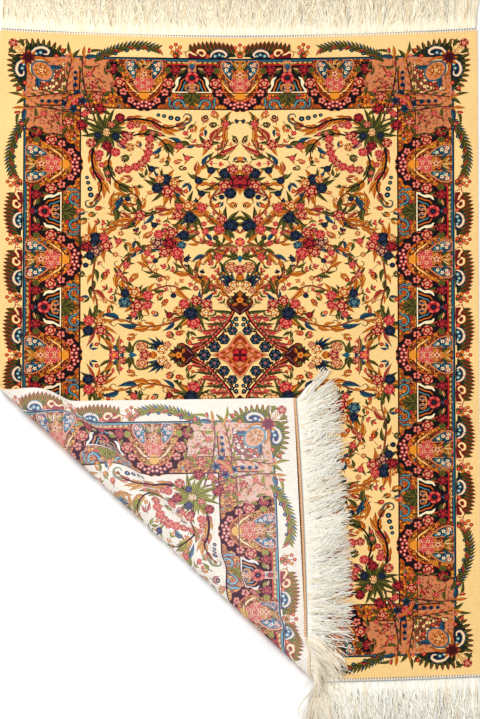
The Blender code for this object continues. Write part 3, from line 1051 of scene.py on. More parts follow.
def pendant(pen):
    """A pendant of the medallion along the pen's first axis: scrolls, leaves, a vase and roses."""
    for mirror in (pen, pen.mirrored()):
        mirror.stroke(
            [104 + 2j, 112 + 14j, 118 + 24j, 126 + 24j, 128 + 17j], 3, (6, 9, 8, 6, 3),
            ("maroon", "black", "rust"),
        )
        for angle, size, tones in ((104, 22, GREEN), (76, 24, OLIVE), (50, 20, GREEN)):
            leaf(mirror, 126 + 4j, angle, size, 9, tones, 10)
        for angle, size in ((112, 26), (88, 34), (66, 40), (46, 38), (30, 30)):
            leaf(mirror, 164 + 10j, angle, size, 9.5, ("navy", "black", "teal"), -26)
        rose(mirror, 150 + 24j, 8.4, "blush")
        rose(mirror, 161 + 13j, 11.4, "gold")
        mirror.stroke([176 + 14j, 192 + 30j, 212 + 32j, 222 + 18j, 232 + 8j], 3, (3, 4.4, 4.4, 4, 2), OLIVE)
        mirror.ribbon(
            spiral(203 + 18j, 12, 200, -330, 0.25, 9), (4, 7, 6, 4, 2), ("orange", "wine", "rosy"),
        )
        blossom(mirror, 203 + 18j, 4.4, "rosy", "red", "plum")
        for angle, size in ((96, 30), (62, 24), (126, 20)):
            leaf(mirror, 229 + 4j, angle, size, 10, GREEN, -12)
        leaf(mirror, 236 + 4j, 40, 22, 8, AMBER, 10)
        rose(mirror, 245 + 12j, 9, "red")
        leaf(mirror, 262 + 14j, 60, 34, 9, AMBER, -20)
        leaf(mirror, 268 + 12j, 20, 30, 8, GREEN, 20)
        blossom(mirror, 258 + 5j, 5, "pink", "amber", "maroon")
    vase = [91, 99 + 9j, 104 + 19j, 112 + 25j, 117 + 17j, 124 + 13j, 132 + 17j, 139 + 12j, 151]
    pen.fill(vase + [z.conjugate() for z in vase[-2:0:-1]], "maroon")
    for mirror in (pen.at(0), pen.mirrored()):
        mirror.ribbon([98 + 3j, 106 + 9j, 112 + 18j], (3, 3, 2), ("rust", "maroon", "slate"))
        leaf(mirror, 134 + 2j, 40, 17, 8, ("forest", "black", "olive"), 10)
        leaf(mirror, 118 + 4j, 100, 14, 8, ("orange", "maroon", "amber"), 10)
        rose(mirror, 203 + 19j, 13, "blush")
        leaf(mirror, 250 + 6j, 80, 40, 10, ("salmon", "maroon", "olive"), 16)
    pen.blob(127, 8, ("amber", "brown", "red"), sides=8, kind=BLOSSOM)
    leaf(pen, 132, 0, 18, 9, AMBER, 0)
    pen.blob(180, 9, ("orange", "maroon", "amber"), sides=9, kind=ROSE)
    rose(pen, 197, 12, "red")
    blossom(pen, 261, 11, "pink", "amber", "maroon")
    pen.fill([212, 224 + 7j, 232, 224 - 7j], SKY)


def scatter(chart, seed, tries=3000, gap=8.8):
    """Small sprigs over the field, where the vines leave room."""
    rnd = random.Random(seed)
    pen = Pen(chart)
    taken = np.array([complex(p.x, p.y) for p in chart.points])
    for _ in range(tries):
        z = complex(rnd.uniform(6, 326), rnd.uniform(6, 562))
        if np.abs(taken - z).min() < gap:
            continue
        angle = rnd.uniform(0, 360)
        length = rnd.uniform(14, 24)
        base = z - polar(length * 0.5, angle)
        p = pen.at(base, angle)
        p.stroke([0, 0.5 * length + 1j * rnd.uniform(-3, 3), length], 2, (1.8, 1.4, 1.0), "maroon")
        for side in (1, -1):
            tones = rnd.choice((GREEN, AMBER, AMBER, OLIVE, SALMON, TEAL))
            leaf(
                p, rnd.uniform(0.1, 0.4) * length, side * rnd.uniform(30, 50), length * 0.85, length * 0.34,
                tones, -side * 24,
            )
        blossom(
            p, length, rnd.uniform(4.0, 5.8), rnd.choice(("red", "pink", "orange", "navy", "crimson")),
            "amber", "maroon",
        )
        fresh = np.array([complex(q.x, q.y) for q in chart.points[len(taken):]])
        taken = np.concatenate([taken, fresh])


def main_border(place, pitch, centres):
    """The border along one edge; place gives the pen at a distance from the edge's middle."""
    k = pitch / SIDE_PITCH
    for c in centres[:-1]:
        inner_strip(place(c + pitch / 2), k)
    for c in centres:
        border_unit(place(c), k, pitch / 2, c == centres[-1])
    for c in centres[:-1]:
        rosette_column(place(c + pitch / 2))


def rug_chart():
    """The whole quarter of the design."""
    chart = Chart(QUARTER_WIDTH, QUARTER_HEIGHT)
    grounds(chart)
    top = Pen(chart)
    field(top)
    medallion_ribs(top)
    medallion(top)
    for turn in (0, 90):
        pendant(top.at(0, turn))
    x, y = QUARTER_WIDTH - OUTER, QUARTER_HEIGHT - OUTER
    main_border(lambda c: top.at(complex(x, c), 90), SIDE_PITCH, (0, SIDE_PITCH, 2 * SIDE_PITCH))
    main_border(lambda c: top.at(complex(c, y), 0, 1, True), END_PITCH, (0, END_PITCH))
    lines(chart)
    for n in range(3):
        guard_unit(top.at(complex(x, SIDE_GUARD * n), 90, 1, True), SIDE_GUARD)
    guard_unit(top.at(complex(0, y)), END_GUARD)
    corner_piece(top.at(complex(QUARTER_WIDTH, QUARTER_HEIGHT), 180))
    scatter(chart, 4)
    return chart


# ---------------------------------------------------------------- cloth meshes
PATTERN_CENTRE = (0.003, -0.005)
# the flat layout for the knots: its name, where its corner lies and the metres that it spans
LAYOUT, LAYOUT_ORIGIN, LAYOUT_SPAN = "OFBake", (0.51, 0.755), 1.5


def on_cloth(x, y):
    """A place of the pattern, in millimetres from its middle, as metres on the flat cloth."""
    u = PATTERN_CENTRE[0] + x / QUARTER_WIDTH * np.where(
        x > 0, HALF_WIDTH - PATTERN_CENTRE[0], HALF_WIDTH + PATTERN_CENTRE[0],
    )
    end = np.where(y > 0, far_end(u) - PATTERN_CENTRE[1], PATTERN_CENTRE[1] - near_end(u))
    return u, PATTERN_CENTRE[1] + y / QUARTER_HEIGHT * end


def linear(tone):
    """A tone given as 0 to 255 in sRGB, as linear light."""
    return [((c / 255 + 0.055) / 1.055) ** 2.4 if c > 10 else c / 255 / 12.92 for c in tone]


def crease_paths(left, step=0.025, steps=40, overlap=8):
    """The fold lines on the pattern's near left or near right quarter, mirrored into the drawn quarter.

    Each runs a few millimetres past the middle, so that it ends outside its quarter.
    """
    paths = []
    for a, _, axis, _ in fold_lines(SPLITS_PER_BAND):
        path = []
        for k in range(steps + 1):
            u, v = a.x - axis.x * k * step, a.y - axis.y * k * step
            side = math.copysign(1, u - PATTERN_CENTRE[0])
            x = (u - PATTERN_CENTRE[0]) / (HALF_WIDTH - side * PATTERN_CENTRE[0]) * QUARTER_WIDTH
            y = (PATTERN_CENTRE[1] - v) / (PATTERN_CENTRE[1] - near_end(u)) * QUARTER_HEIGHT
            if (x < overlap) == left or abs(x) < overlap:
                path.append((abs(x) if (x < 0) == left else -abs(x), y))
        if len(path) > 1:
            paths.append(path)
    return paths


def places_within(chart, points, found, owners):
    """For each corner of each triangle its place in the shape it belongs to, and the shape's kind."""
    spots = (points[:, 0] + 1j * points[:, 1])[found]
    places = np.zeros((len(found), 3, 3))
    order = np.argsort(owners, kind="stable")
    bounds = np.searchsorted(owners[order], np.arange(len(chart.shapes) + 1))
    for n, (kind, _, inner) in enumerate(chart.shapes):
        rows = order[bounds[n]:bounds[n + 1]]
        if len(rows):
            here = spots[rows].ravel()
            here = (inner(here) if inner else here).reshape(-1, 3)
            places[rows] = np.stack([here.real, here.imag, np.full(here.shape, float(kind))], axis=2)
    return places


def whole_pattern(chart):
    """The quarter mirrored into the four of the cloth: flat points, triangles, their tones and places."""
    borders = chart.borders()
    far = filled(borders)
    near_left = filled(borders, crease_paths(True))
    near_right = filled(borders, crease_paths(False))
    tones = np.array([shape[1] for shape in chart.shapes])
    flat, faces, shades, places = [], [], [], []
    total = 0
    for sx, sy, (points, found, owners) in (
        (1, 1, far), (-1, 1, far), (-1, -1, near_left), (1, -1, near_right),
    ):
        u, v = on_cloth(points[:, 0] * sx, points[:, 1] * sy)
        within = places_within(chart, points, found, owners)
        handed = slice(None) if sx * sy > 0 else slice(None, None, -1)
        flat.append(np.column_stack([u, v]))
        faces.append(found[:, handed] + total)
        shades.append(tones[owners])
        places.append(within[:, handed])
        total += len(points)
    return np.vstack(flat), np.vstack(faces), np.vstack(shades), np.vstack(places)


def mesh_piece(name, points, faces):
    """A smooth mesh, with points as rows of xyz and faces as rows of their corners."""
    data = bpy.data.meshes.new(name)
    data.vertices.add(len(points))
    data.vertices.foreach_set("co", points.ravel())
    data.loops.add(faces.size)
    data.loops.foreach_set("vertex_index", faces.ravel())
    data.polygons.add(len(faces))
    data.polygons.foreach_set("loop_start", np.arange(0, faces.size, faces.shape[1]))
    data.update(calc_edges=True)
    data.polygons.foreach_set("use_smooth", np.ones(len(faces), bool))
    piece = bpy.data.objects.new(name, data)
    bpy.context.scene.collection.objects.link(piece)
    return piece


def cloth_face(name, source, height, tones, up):
    """One face of the cloth, bent, with its tones, its places within motifs and its flat layout."""
    flat, faces, shades, places = source
    if not up:
        faces, places = faces[:, ::-1], places[:, ::-1]
    moved, normals = bend(np.column_stack([flat, np.full(len(flat), height)]))
    piece = mesh_piece(name, moved, faces)
    data = piece.data
    table = np.array([linear(tones[n]) + [1.0] for n in TONE_NAMES])
    for column, part in enumerate(("Body", "Rim", "Heart")):
        attribute = data.color_attributes.new(part, "FLOAT_COLOR", "CORNER")
        attribute.data.foreach_set("color", np.repeat(table[shades[:, column]], 3, axis=0).ravel())
    data.attributes.new("Motif", "FLOAT_VECTOR", "CORNER").data.foreach_set("vector", places.ravel())
    layout = data.uv_layers.new(name=LAYOUT)
    layout.data.foreach_set("uv", ((flat + LAYOUT_ORIGIN) / LAYOUT_SPAN)[faces.ravel()].ravel())
    data.normals_split_custom_set_from_vertices((normals if up else -normals).tolist())
    return piece


# the tones of the single flowers strewn over a busy ground
ACCENTS = ("green", "amber", "crimson", "teal", "maroon", "forest", "pink", "gold")
# the back shows the same knots paler, between the threads of the white warp
BACK_TONES = {
    "gold": (250, 241, 229), "terra": (234, 208, 196), "cream": (252, 244, 234), "amber": (240, 193, 126),
    "orange": (228, 161, 110), "rust": (212, 136, 105), "salmon": (236, 184, 163), "clay": (190, 139, 126),
    "red": (214, 99, 99), "crimson": (227, 121, 113), "pink": (236, 148, 136), "rosy": (243, 172, 156),
    "blush": (248, 206, 179), "wine": (169, 91, 105), "maroon": (139, 88, 102), "black": (84, 60, 70),
    "brown": (169, 123, 104), "navy": (94, 94, 129), "blue": (116, 123, 163), "slate": (166, 171, 180),
    "teal": (120, 172, 193), "aqua": (177, 206, 214), "green": (163, 163, 88), "olive": (190, 184, 113),
    "forest": (128, 128, 86), "plum": (150, 107, 137),
}


def reckoning(operation):
    """A method that adds a math node with the operation."""
    return lambda self, other=None: self.make(operation, other)


class Signal:
    """A value in a material's node tree; reckoning with it adds nodes."""

    def __init__(self, tree, socket):
        self.tree, self.socket = tree, socket

    def make(self, operation, other):
        made = self.tree.nodes.new("ShaderNodeMath")
        made.operation = operation
        self.tree.links.new(self.socket, made.inputs[0])
        if isinstance(other, Signal):
            self.tree.links.new(other.socket, made.inputs[1])
        elif other is not None:
            made.inputs[1].default_value = other
        return Signal(self.tree, made.outputs["Value"])

    __add__, __sub__, __mul__, __truediv__ = map(reckoning, ("ADD", "SUBTRACT", "MULTIPLY", "DIVIDE"))
    over, under, most = map(reckoning, ("GREATER_THAN", "LESS_THAN", "MAXIMUM"))
    power, turn, size, fract, cosine = map(reckoning, ("POWER", "ARCTAN2", "ABSOLUTE", "FRACT", "COSINE"))


def motif_shares(x, y, kind):
    """How far the rim's tone and the heart's tone show at a place of a motif.

    A rose, a blossom and a bud are 1 from heart to edge. A leaf is 1 long and 1 from its rib to its widest.
    A ribbon is 1 from its middle to its edge.
    """
    reach = (x * x + y * y).power(0.5)
    turn = y.turn(x)
    wide = y.size()
    # five petals, and three folds about a rose's heart
    petal = (turn * 2.5).cosine().size()
    fold = (turn * 1.5 + 0.8).cosine().size()
    rose_rim = reach.over(petal * 0.12 + 0.79).most(reach.over(0.52) * petal.under(0.24))
    rose_rim = rose_rim.most(reach.under(0.50) * fold.under(0.24)).most(reach.under(0.10))
    rose_rim = rose_rim.most((reach - 0.53).size().under(0.04) * petal.over(0.45))
    rose_heart = reach.over(0.64) * petal.over(0.62) * 0.55 + reach.under(0.40) * 0.75
    blossom_rim = reach.over(petal * 0.34 + 0.60).most(petal.under(0.22) * reach.over(0.34))
    blossom_heart = reach.under(0.32)
    # how wide a leaf is along its length, and its side veins
    profile = (x.most(0.0).power(0.8) * 3.1416 - 1.5708).cosine().most(0.0) + 0.06
    vein = (x * 5 - wide * 1.3).fract().under(0.24) * 0.45
    leaf_rim = (wide / profile).over(0.70).most(wide.under(0.13)).most(vein)
    leaf_heart = y.under(0.0) * 0.9
    ribbon_rim = wide.over(0.62)
    ribbon_heart = wide.under(0.28)
    bud_rim = (wide / profile).over(0.72).most(x.under(0.16))
    bud_heart = (y - x * 0.6 + 0.1).over(0.0) * 0.55
    rim = kind * 0
    heart = kind * 0
    for number, rim_here, heart_here in (
        (ROSE, rose_rim, rose_heart), (BLOSSOM, blossom_rim, blossom_heart), (LEAF, leaf_rim, leaf_heart),
        (RIBBON, ribbon_rim, ribbon_heart), (BUD, bud_rim, bud_heart),
    ):
        here = (kind - number).size().under(0.5)
        rim = rim + here * rim_here
        heart = heart + here * heart_here
    return rim, heart


def mixed(tree, share, first, second):
    """Two colours mixed; share is how far the second shows."""
    made = tree.nodes.new("ShaderNodeMix")
    made.data_type = "RGBA"
    tree.links.new(share.socket, made.inputs[0])
    tree.links.new(first, made.inputs[6])
    tree.links.new(second, made.inputs[7])
    return made.outputs[2]


def knotted_colour(tree, accents):
    """The colour of the knots: motifs in three tones, and grounds filled with small flowers."""
    motif = tree.nodes.new("ShaderNodeAttribute")
    motif.attribute_name = "Motif"
    parts = tree.nodes.new("ShaderNodeSeparateXYZ")
    tree.links.new(motif.outputs["Vector"], parts.inputs["Vector"])
    x, y, kind = (Signal(tree, parts.outputs[axis]) for axis in "XYZ")
    tones = []
    for part in ("Body", "Rim", "Heart"):
        layer = tree.nodes.new("ShaderNodeVertexColor")
        layer.layer_name = part
        tones.append(layer.outputs["Color"])
    body, rim_tone, heart_tone = tones
    rim, heart = motif_shares(x, y, kind)
    # the small flowers of a filled ground: each cell a floret of its own tone, with a dark outline
    busy = kind.over(BUSY - 0.5)
    cells, gaps = tree.nodes.new("ShaderNodeTexVoronoi"), tree.nodes.new("ShaderNodeTexVoronoi")
    gaps.feature = "DISTANCE_TO_EDGE"
    for texture in (cells, gaps):
        texture.voronoi_dimensions = "2D"
        texture.inputs["Scale"].default_value = 0.15
        texture.inputs["Randomness"].default_value = 0.75
        tree.links.new(motif.outputs["Vector"], texture.inputs["Vector"])
    chance = tree.nodes.new("ShaderNodeSeparateColor")
    tree.links.new(cells.outputs["Color"], chance.inputs["Color"])
    pick, second = Signal(tree, chance.outputs["Red"]), Signal(tree, chance.outputs["Green"])
    near = Signal(tree, cells.outputs["Distance"])
    edge = Signal(tree, gaps.outputs["Distance"])
    accent = tree.nodes.new("ShaderNodeValToRGB")
    accent.color_ramp.interpolation = "CONSTANT"
    for number, colour in enumerate(accents):
        stop = accent.color_ramp.elements[number] if number < 2 else accent.color_ramp.elements.new(0.5)
        stop.position = number / len(accents)
        stop.color = (*linear(colour), 1)
    tree.links.new(second.socket, accent.inputs["Fac"])
    heart = heart + busy * (pick.over(0.55) * 0.9).most(near.under(0.20))
    outlines = edge.under(0.09) * kind.under(CALM - 0.5)
    rim = rim + busy * outlines.most(pick.under(0.40) * near.under(0.34) * 0.8)
    colour = mixed(tree, heart, body, heart_tone)
    spots = busy * kind.under(CALM - 0.5) * pick.over(0.76) * near.under(0.42)
    colour = mixed(tree, spots, colour, accent.outputs["Color"])
    return mixed(tree, rim, colour, rim_tone)


def set_inputs(node, values):
    for name, value in values.items():
        node.inputs[name].default_value = value


def new_material(name, values):
    """A material, its node tree and its shader, whose inputs get the values."""
    material = bpy.data.materials.new(name)
    material.use_nodes = True
    shader = material.node_tree.nodes["Principled BSDF"]
    set_inputs(shader, values)
    return material, material.node_tree, shader


def texture(tree, kind, place, values):
    made = tree.nodes.new(kind)
    set_inputs(made, values)
    tree.links.new(place, made.inputs["Vector"])
    return made


def ranged(tree, source, values):
    """A value carried from one range to another."""
    made = tree.nodes.new("ShaderNodeMapRange")
    set_inputs(made, values)
    tree.links.new(source, made.inputs["Value"])
    return Signal(tree, made.outputs["Result"])


def wool_material(name, accents, knot, bump_height, values):
    """Knotted wool: small knots, each a little lighter or darker, in broad lighter and darker patches."""
    material, tree, shader = new_material(
        name, {"Sheen Roughness": 0.5, "Specular IOR Level": 0.12, **values},
    )
    place = tree.nodes.new("ShaderNodeUVMap")
    place.uv_map = LAYOUT
    cell = {"Scale": LAYOUT_SPAN / knot, "Randomness": 0.35}
    knots = texture(tree, "ShaderNodeTexVoronoi", place.outputs["UV"], cell)
    patches = texture(tree, "ShaderNodeTexNoise", place.outputs["UV"], {"Scale": 9, "Detail": 6})
    split = tree.nodes.new("ShaderNodeSeparateColor")
    tree.links.new(knots.outputs["Color"], split.inputs["Color"])
    own_shade = ranged(tree, split.outputs["Red"], {"To Min": 0.76, "To Max": 0.98})
    broad = {"From Min": 0.3, "From Max": 0.7, "To Min": 0.94, "To Max": 1.05}
    product = own_shade * ranged(tree, patches.outputs["Fac"], broad)
    shade = tree.nodes.new("ShaderNodeVectorMath")
    shade.operation = "SCALE"
    tree.links.new(knotted_colour(tree, accents), shade.inputs[0])
    tree.links.new(product.socket, shade.inputs["Scale"])
    tree.links.new(shade.outputs["Vector"], shader.inputs["Base Color"])
    bump = tree.nodes.new("ShaderNodeBump")
    set_inputs(bump, {"Strength": 0.5, "Distance": bump_height})
    bump.invert = True
    tree.links.new(knots.outputs["Distance"], bump.inputs["Height"])
    tree.links.new(bump.outputs["Normal"], shader.inputs["Normal"])
    return material


def plain_material(name, colour, roughness=0.9):
    return new_material(name, {"Base Color": (*linear(colour), 1), "Roughness": roughness})[0]


def cotton_material():
    """Cotton in the tint of each strand."""
    material, tree, shader = new_material("cotton", {"Roughness": 0.8, "Sheen Weight": 0.1})
    colour = tree.nodes.new("ShaderNodeVertexColor")
    colour.layer_name = "Tint"
    tree.links.new(colour.outputs["Color"], shader.inputs["Base Color"])
    return material


def outline_points(spacing):
    """(flat point, outward direction) round the cloth, no further apart than about the spacing."""
    length = FAR_CORNER_Y - NEAR_CORNER_Y
    across = [k / int(2 * HALF_WIDTH / spacing) for k in range(int(2 * HALF_WIDTH / spacing))]
    up = [k / int(length / spacing) for k in range(int(length / spacing))]
    found = []
    for share in across:
        u = -HALF_WIDTH + 2 * HALF_WIDTH * share
        found.append((u, near_end(u), 0, -1))
    found += [(HALF_WIDTH, NEAR_CORNER_Y + length * share, 1, 0) for share in up]
    for share in across:
        u = HALF_WIDTH - 2 * HALF_WIDTH * share
        found.append((u, far_end(u), 0, 1))
    found += [(-HALF_WIDTH, FAR_CORNER_Y - length * share, -1, 0) for share in up]
    return np.array(found)


def cloth_edge(name, spacing=0.004, bulge=0.0009):
    """The rounded edge that joins the pile's face to the back, all the way round."""
    loop = outline_points(spacing)
    rows = []
    for share in (0, 0.2, 0.5, 0.8, 1):
        swell = bulge * math.sin(math.pi * share)
        flat = loop[:, :2] + loop[:, 2:] * swell
        rows.append(bend(np.column_stack([flat, np.full(len(loop), THICKNESS * share)]))[0])
    index = np.arange(len(rows) * len(loop)).reshape(len(rows), len(loop))
    lower, upper = index[:-1], index[1:]
    quads = np.stack([lower, np.roll(lower, -1, axis=1), np.roll(upper, -1, axis=1), upper], axis=-1)
    return mesh_piece(name, np.vstack(rows), quads.reshape(-1, 4))


pattern = whole_pattern(rug_chart())
front = cloth_face("pile", pattern, THICKNESS, TONES, True)
back = cloth_face("back", pattern, 0.0, BACK_TONES, False)
edge = cloth_edge("edge")
pile_looks = {"Roughness": 0.9, "Sheen Weight": 0.04}
back_looks = {"Roughness": 0.95, "Sheen Weight": 0.0}
front.data.materials.append(wool_material(
    "pile_wool", [TONES[n] for n in ACCENTS], 0.0011, 0.0006, pile_looks,
))
back.data.materials.append(wool_material(
    "back_wool", [BACK_TONES[n] for n in ACCENTS], 0.0014, 0.0003, back_looks,
))
edge.data.materials.append(plain_material("edge_wool", (228, 186, 126)))
for piece in (front, back, edge):
    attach(piece, "root")
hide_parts("rug_cloth")

# ---------------------------------------------------------------- fringe and stitched ends
def strand_mesh(name, paths, radii, tints, sides=3, flat=1.0):
    """Strands as one mesh. paths is (strand, step, xyz), radii (strand, step), tints (strand, rgb).

    Each has as many sides as asked, and flat is its height as a share of its width.
    """
    count, steps, _ = paths.shape
    ahead = np.gradient(paths, axis=1)
    ahead /= np.maximum(np.linalg.norm(ahead, axis=2, keepdims=True), 1e-9)
    across = np.cross(ahead, (0.0, 0.0, 1.0))
    across /= np.maximum(np.linalg.norm(across, axis=2, keepdims=True), 1e-9)
    up = np.cross(across, ahead)
    rings = []
    for k in range(sides):
        a = 2 * math.pi * k / sides + math.pi / 2
        rings.append(paths + (across * math.cos(a) + up * (math.sin(a) * flat)) * radii[:, :, None])
    index = np.arange(count * steps * sides).reshape(count, steps, sides)
    a, b = index[:, :-1, :], index[:, 1:, :]
    quads = np.stack([a, np.roll(a, -1, axis=2), np.roll(b, -1, axis=2), b], axis=-1)
    piece = mesh_piece(name, np.stack(rings, axis=2).reshape(-1, 3), quads.reshape(-1, 4))
    attribute = piece.data.color_attributes.new("Tint", "FLOAT_COLOR", "POINT")
    shade = np.repeat(np.column_stack([tints, np.ones(count)]), steps * sides, axis=0)
    attribute.data.foreach_set("color", shade.ravel())
    return piece


FRINGE_LENGTH, FLAP_FRINGE_LENGTH, FOLD_FRINGE_LENGTH = 0.110, 0.094, 0.100
# how far past the cloth's end the strands begin, and the height of their middle over what they lie on
ROOT_OFF, LYING = 0.0050, 0.0012
STRAND_STEPS = 9
# the shape of a lock along its length, and how close the locks lie
LOCK_WIDTHS = (0.5, 0.9, 1, 1, 1, 1, 0.95, 0.85, 0.6, 0.1)
LOCK_SPACING, LOCK_RADIUS = 0.0042, 0.0046


def smooth(x, low, high):
    """From 0 at low to 1 at high, with no corner at either."""
    t = np.clip((x - low) / (high - low), 0, 1)
    return t * t * (3 - 2 * t)


def over_pile(place):
    """How far a place is over the flat cloth, from 0 outside its ends to 1 within them."""
    u = np.clip(place[:, 0], -HALF_WIDTH, HALF_WIDTH)
    return smooth(
        place[:, 1] - near_end(u), -0.002, 0.006,
    ) * smooth(far_end(u) - place[:, 1], -0.002, 0.006)


def fringe_paths(u, end_line, outward, heading, rng, layer_depth, reach):
    """Strands from the cloth's end at each u, turning to their heading and sinking to what they lie on."""
    v = end_line(u) + outward * ROOT_OFF
    height = np.full(len(u), THICKNESS / 2)
    start, _ = bend(np.column_stack([u, v, height]))
    further, _ = bend(np.column_stack([u, v + outward * 0.002, height]))
    out = (further - start) / np.linalg.norm(further - start, axis=1, keepdims=True)
    angle, turn = heading(u, start)
    # neighbours lean together in clumps, and strands near the cloth's sides stray less
    clump = 11 * np.sin(u * 210 + 2.5 * np.sin(u * 67)) + 6 * np.sin(u * 530 + 1)
    loose = 1 - 0.7 * smooth(np.abs(u), 0.44, 0.49)
    angle = np.radians(angle + (clump + rng.normal(0, 8.5, len(u))) * loose)
    turn = np.radians(turn + rng.normal(0, 12, len(u)) * loose)
    wave = rng.uniform(0, 6.3, len(u))
    swing = np.radians(rng.normal(0, 17, len(u)) * loose)
    length = reach * (1 + rng.normal(0, 0.06, len(u)))
    layer = rng.uniform(0, layer_depth, len(u))
    place = start.copy()
    path = [place.copy()]
    for k in range(1, STRAND_STEPS + 1):
        share = k / STRAND_STEPS
        a = angle + turn * share + swing * np.sin(wave + 5.0 * share)
        target = np.stack([np.cos(a), np.sin(a), np.zeros(len(u))], axis=1)
        turned = smooth(share, 0.0, 0.35)
        step = out * (1 - turned) + target * turned
        step /= np.linalg.norm(step, axis=1, keepdims=True)
        place = place + step * (length / STRAND_STEPS)[:, None]
        rest = LYING + over_pile(place) * (THICKNESS + 0.0004) + layer * smooth(share, 0.0, 0.3)
        fall = smooth(share, 0.05, 0.55)
        place[:, 2] = np.maximum(rest, place[:, 2] * (1 - fall) + rest * fall)
        path.append(place.copy())
    return np.stack(path, axis=1)


def tinted(base, rng, low, high, count):
    """The base tone, lighter or darker for each of a number of strands."""
    return np.array(linear(base)) * rng.uniform(low, high, count)[:, None]


def in_cotton(pieces):
    for piece in pieces:
        piece.data.materials.append(cotton)
        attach(piece, "root")
    return pieces


def fringe(name, count, thickness, starts, end_line, outward, heading, seed, base,
           reach=FRINGE_LENGTH, under_share=0.95):
    """A fringe: fine strands over flat locks, which reach less far and lie lower than they."""
    rng = np.random.default_rng(seed)
    u = np.sort(rng.uniform(starts[0], starts[1], count))
    paths = fringe_paths(u, end_line, outward, heading, rng, 0.0035, reach)
    radii = thickness * rng.uniform(0.7, 1.25, count)[:, None] * np.linspace(1.0, 0.55, STRAND_STEPS + 1)
    tints = tinted(base, rng, 0.88, 1.06, count)
    tints[rng.random(count) < 0.16] *= (0.93, 0.84, 0.68)
    strands = strand_mesh(f"{name}_strands", paths, radii, np.clip(tints, 0, 1))
    under = int((starts[1] - starts[0]) / LOCK_SPACING)
    u = np.linspace(starts[0] + 0.002, starts[1] - 0.002, under)
    paths = fringe_paths(u, end_line, outward, heading, rng, 0.0004, reach * under_share)
    radii = LOCK_RADIUS * rng.uniform(0.8, 1.2, under)[:, None] * LOCK_WIDTHS
    tints = tinted(base, rng, 0.92, 1.03, under)
    locks = strand_mesh(f"{name}_locks", paths, radii, np.clip(tints, 0, 1), 4, 0.16)
    return in_cotton([strands, locks])


def far_heading(u, start):
    """The strands' way in degrees, and how far they turn on from it; the other headings are its like."""
    return 90 - 5 * np.sin(u * 23) - 4 * u / HALF_WIDTH, 8 * np.sin(u * 31 + 1)


def near_heading(u, start):
    return -90 + 4 * u / HALF_WIDTH + 4 * np.sin(u * 40), 6 * np.sin(u * 27 + 2)


# on the flap: (metres below the turned corner, heading, turn)
FLAP_HEADINGS = (
    (0.0, 62, -14), (0.02, 46, -12), (0.06, 34, -4), (0.25, 28, 4), (0.40, 14, 4), (0.50, 2, -4),
    (0.56, -26, -26),
)
corner_y = bend([(-HALF_WIDTH, NEAR_CORNER_Y, 0)])[0][0][1]


def flap_heading(u, start):
    below, headings, turns = np.array(FLAP_HEADINGS, float).T
    return np.interp(
        corner_y - start[:, 1], below, headings,
    ), np.interp(corner_y - start[:, 1], below, turns)


def nose_heading(u, start):
    share = smooth(u, 0.04, 0.17)
    return -30 - 55 * share, -30 * (1 - share)


# where the near end stops lying on the flap, and where it lies on the floor again
FLAP_U, NOSE_U = -HALF_WIDTH + 0.540, -HALF_WIDTH + 0.676
cotton = cotton_material()
# the fringes share one cotton, but each end gets its own tint, and this holds painted light: the near end's
# and the flap's cotton is tinted whiter than the far end's, as if lit more brightly
far_fringe = fringe(
    "fringe_far", 1300, 0.0013, (-0.498, 0.498), far_end, 1, far_heading, 11, (255, 244, 220),
)
near_fringe = fringe(
    "fringe_near", 420, 0.0014, (NOSE_U, 0.498), near_end, -1, near_heading, 12, (255, 251, 240),
)
flap_fringe = fringe(
    "fringe_flap", 950, 0.0013, (-0.4985, FLAP_U), near_end, -1, flap_heading, 13, (255, 250, 238),
    FLAP_FRINGE_LENGTH, 0.55,
)
nose_fringe = fringe(
    "fringe_fold", 260, 0.0013, (FLAP_U, NOSE_U), near_end, -1, nose_heading, 14, (252, 242, 222),
    FOLD_FRINGE_LENGTH,
)
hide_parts("fringe_far")
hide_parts("fringe_near")
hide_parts("fringe_flap")

CORD_TONE, GROUND_TONE = (140, 160, 172), (240, 218, 186)
WHITE_STITCH, ORANGE_STITCH = (250, 246, 236), (236, 164, 96)
CORD_SPACING, STITCH_SPACING = 0.0028, 0.0055
# a stitch: how far inside the end it starts, its length across the end, its slant along it and its rise
STITCH_INSET, STITCH_LENGTH, STITCH_SLANT, STITCH_RISE = 0.0012, 0.0062, 0.0012, 0.0007
STITCH_WIDTHS = (0.7, 1, 1.1, 1, 0.7)


def end_band(name, starts, end_line, outward, seed, stitch_tone, over=True):
    """The woven band beside an end: its ground, a grey-blue cord, and stitches over the cloth's edge.

    The band's other face, over=False, has no ground of its own.
    """
    def on_band(u, offset, above):
        """Points past the end by an offset, at a height above the back or as far below the pile."""
        height = np.full(len(u), above if over else THICKNESS - above)
        return bend(np.column_stack([u, end_line(u) + outward * offset, height]))[0]

    length = starts[1] - starts[0]
    u = np.linspace(starts[0], starts[1], int(length / CORD_SPACING))
    cords = [("cord", 0.0050, 0.0046, 0.0008, CORD_TONE)]
    if over:
        cords.append(("ground", 0.0022, 0.0019, 0.0021, GROUND_TONE))
    made = []
    for part, offset, above, radius, tone in cords:
        line = on_band(u, offset, above)[None]
        made.append(strand_mesh(
            f"{name}_{part}", line, np.full((1, len(u)), radius), np.array([linear(tone)]), 6,
        ))
    rng = np.random.default_rng(seed)
    count = int(length / STITCH_SPACING)
    centre = np.linspace(starts[0], starts[1], count)
    paths = []
    for share in (0, 0.25, 0.5, 0.75, 1):
        above = THICKNESS + 0.0002 + STITCH_RISE * math.sin(math.pi * share)
        paths.append(on_band(centre + STITCH_SLANT * share, STITCH_LENGTH * share - STITCH_INSET, above))
    radii = np.full((count, 1), 0.0012) * STITCH_WIDTHS
    tints = tinted(stitch_tone, rng, 0.9, 1.0, count)
    made.append(strand_mesh(f"{name}_stitches", np.stack(paths, axis=1), radii, tints, 5))
    return in_cotton(made)


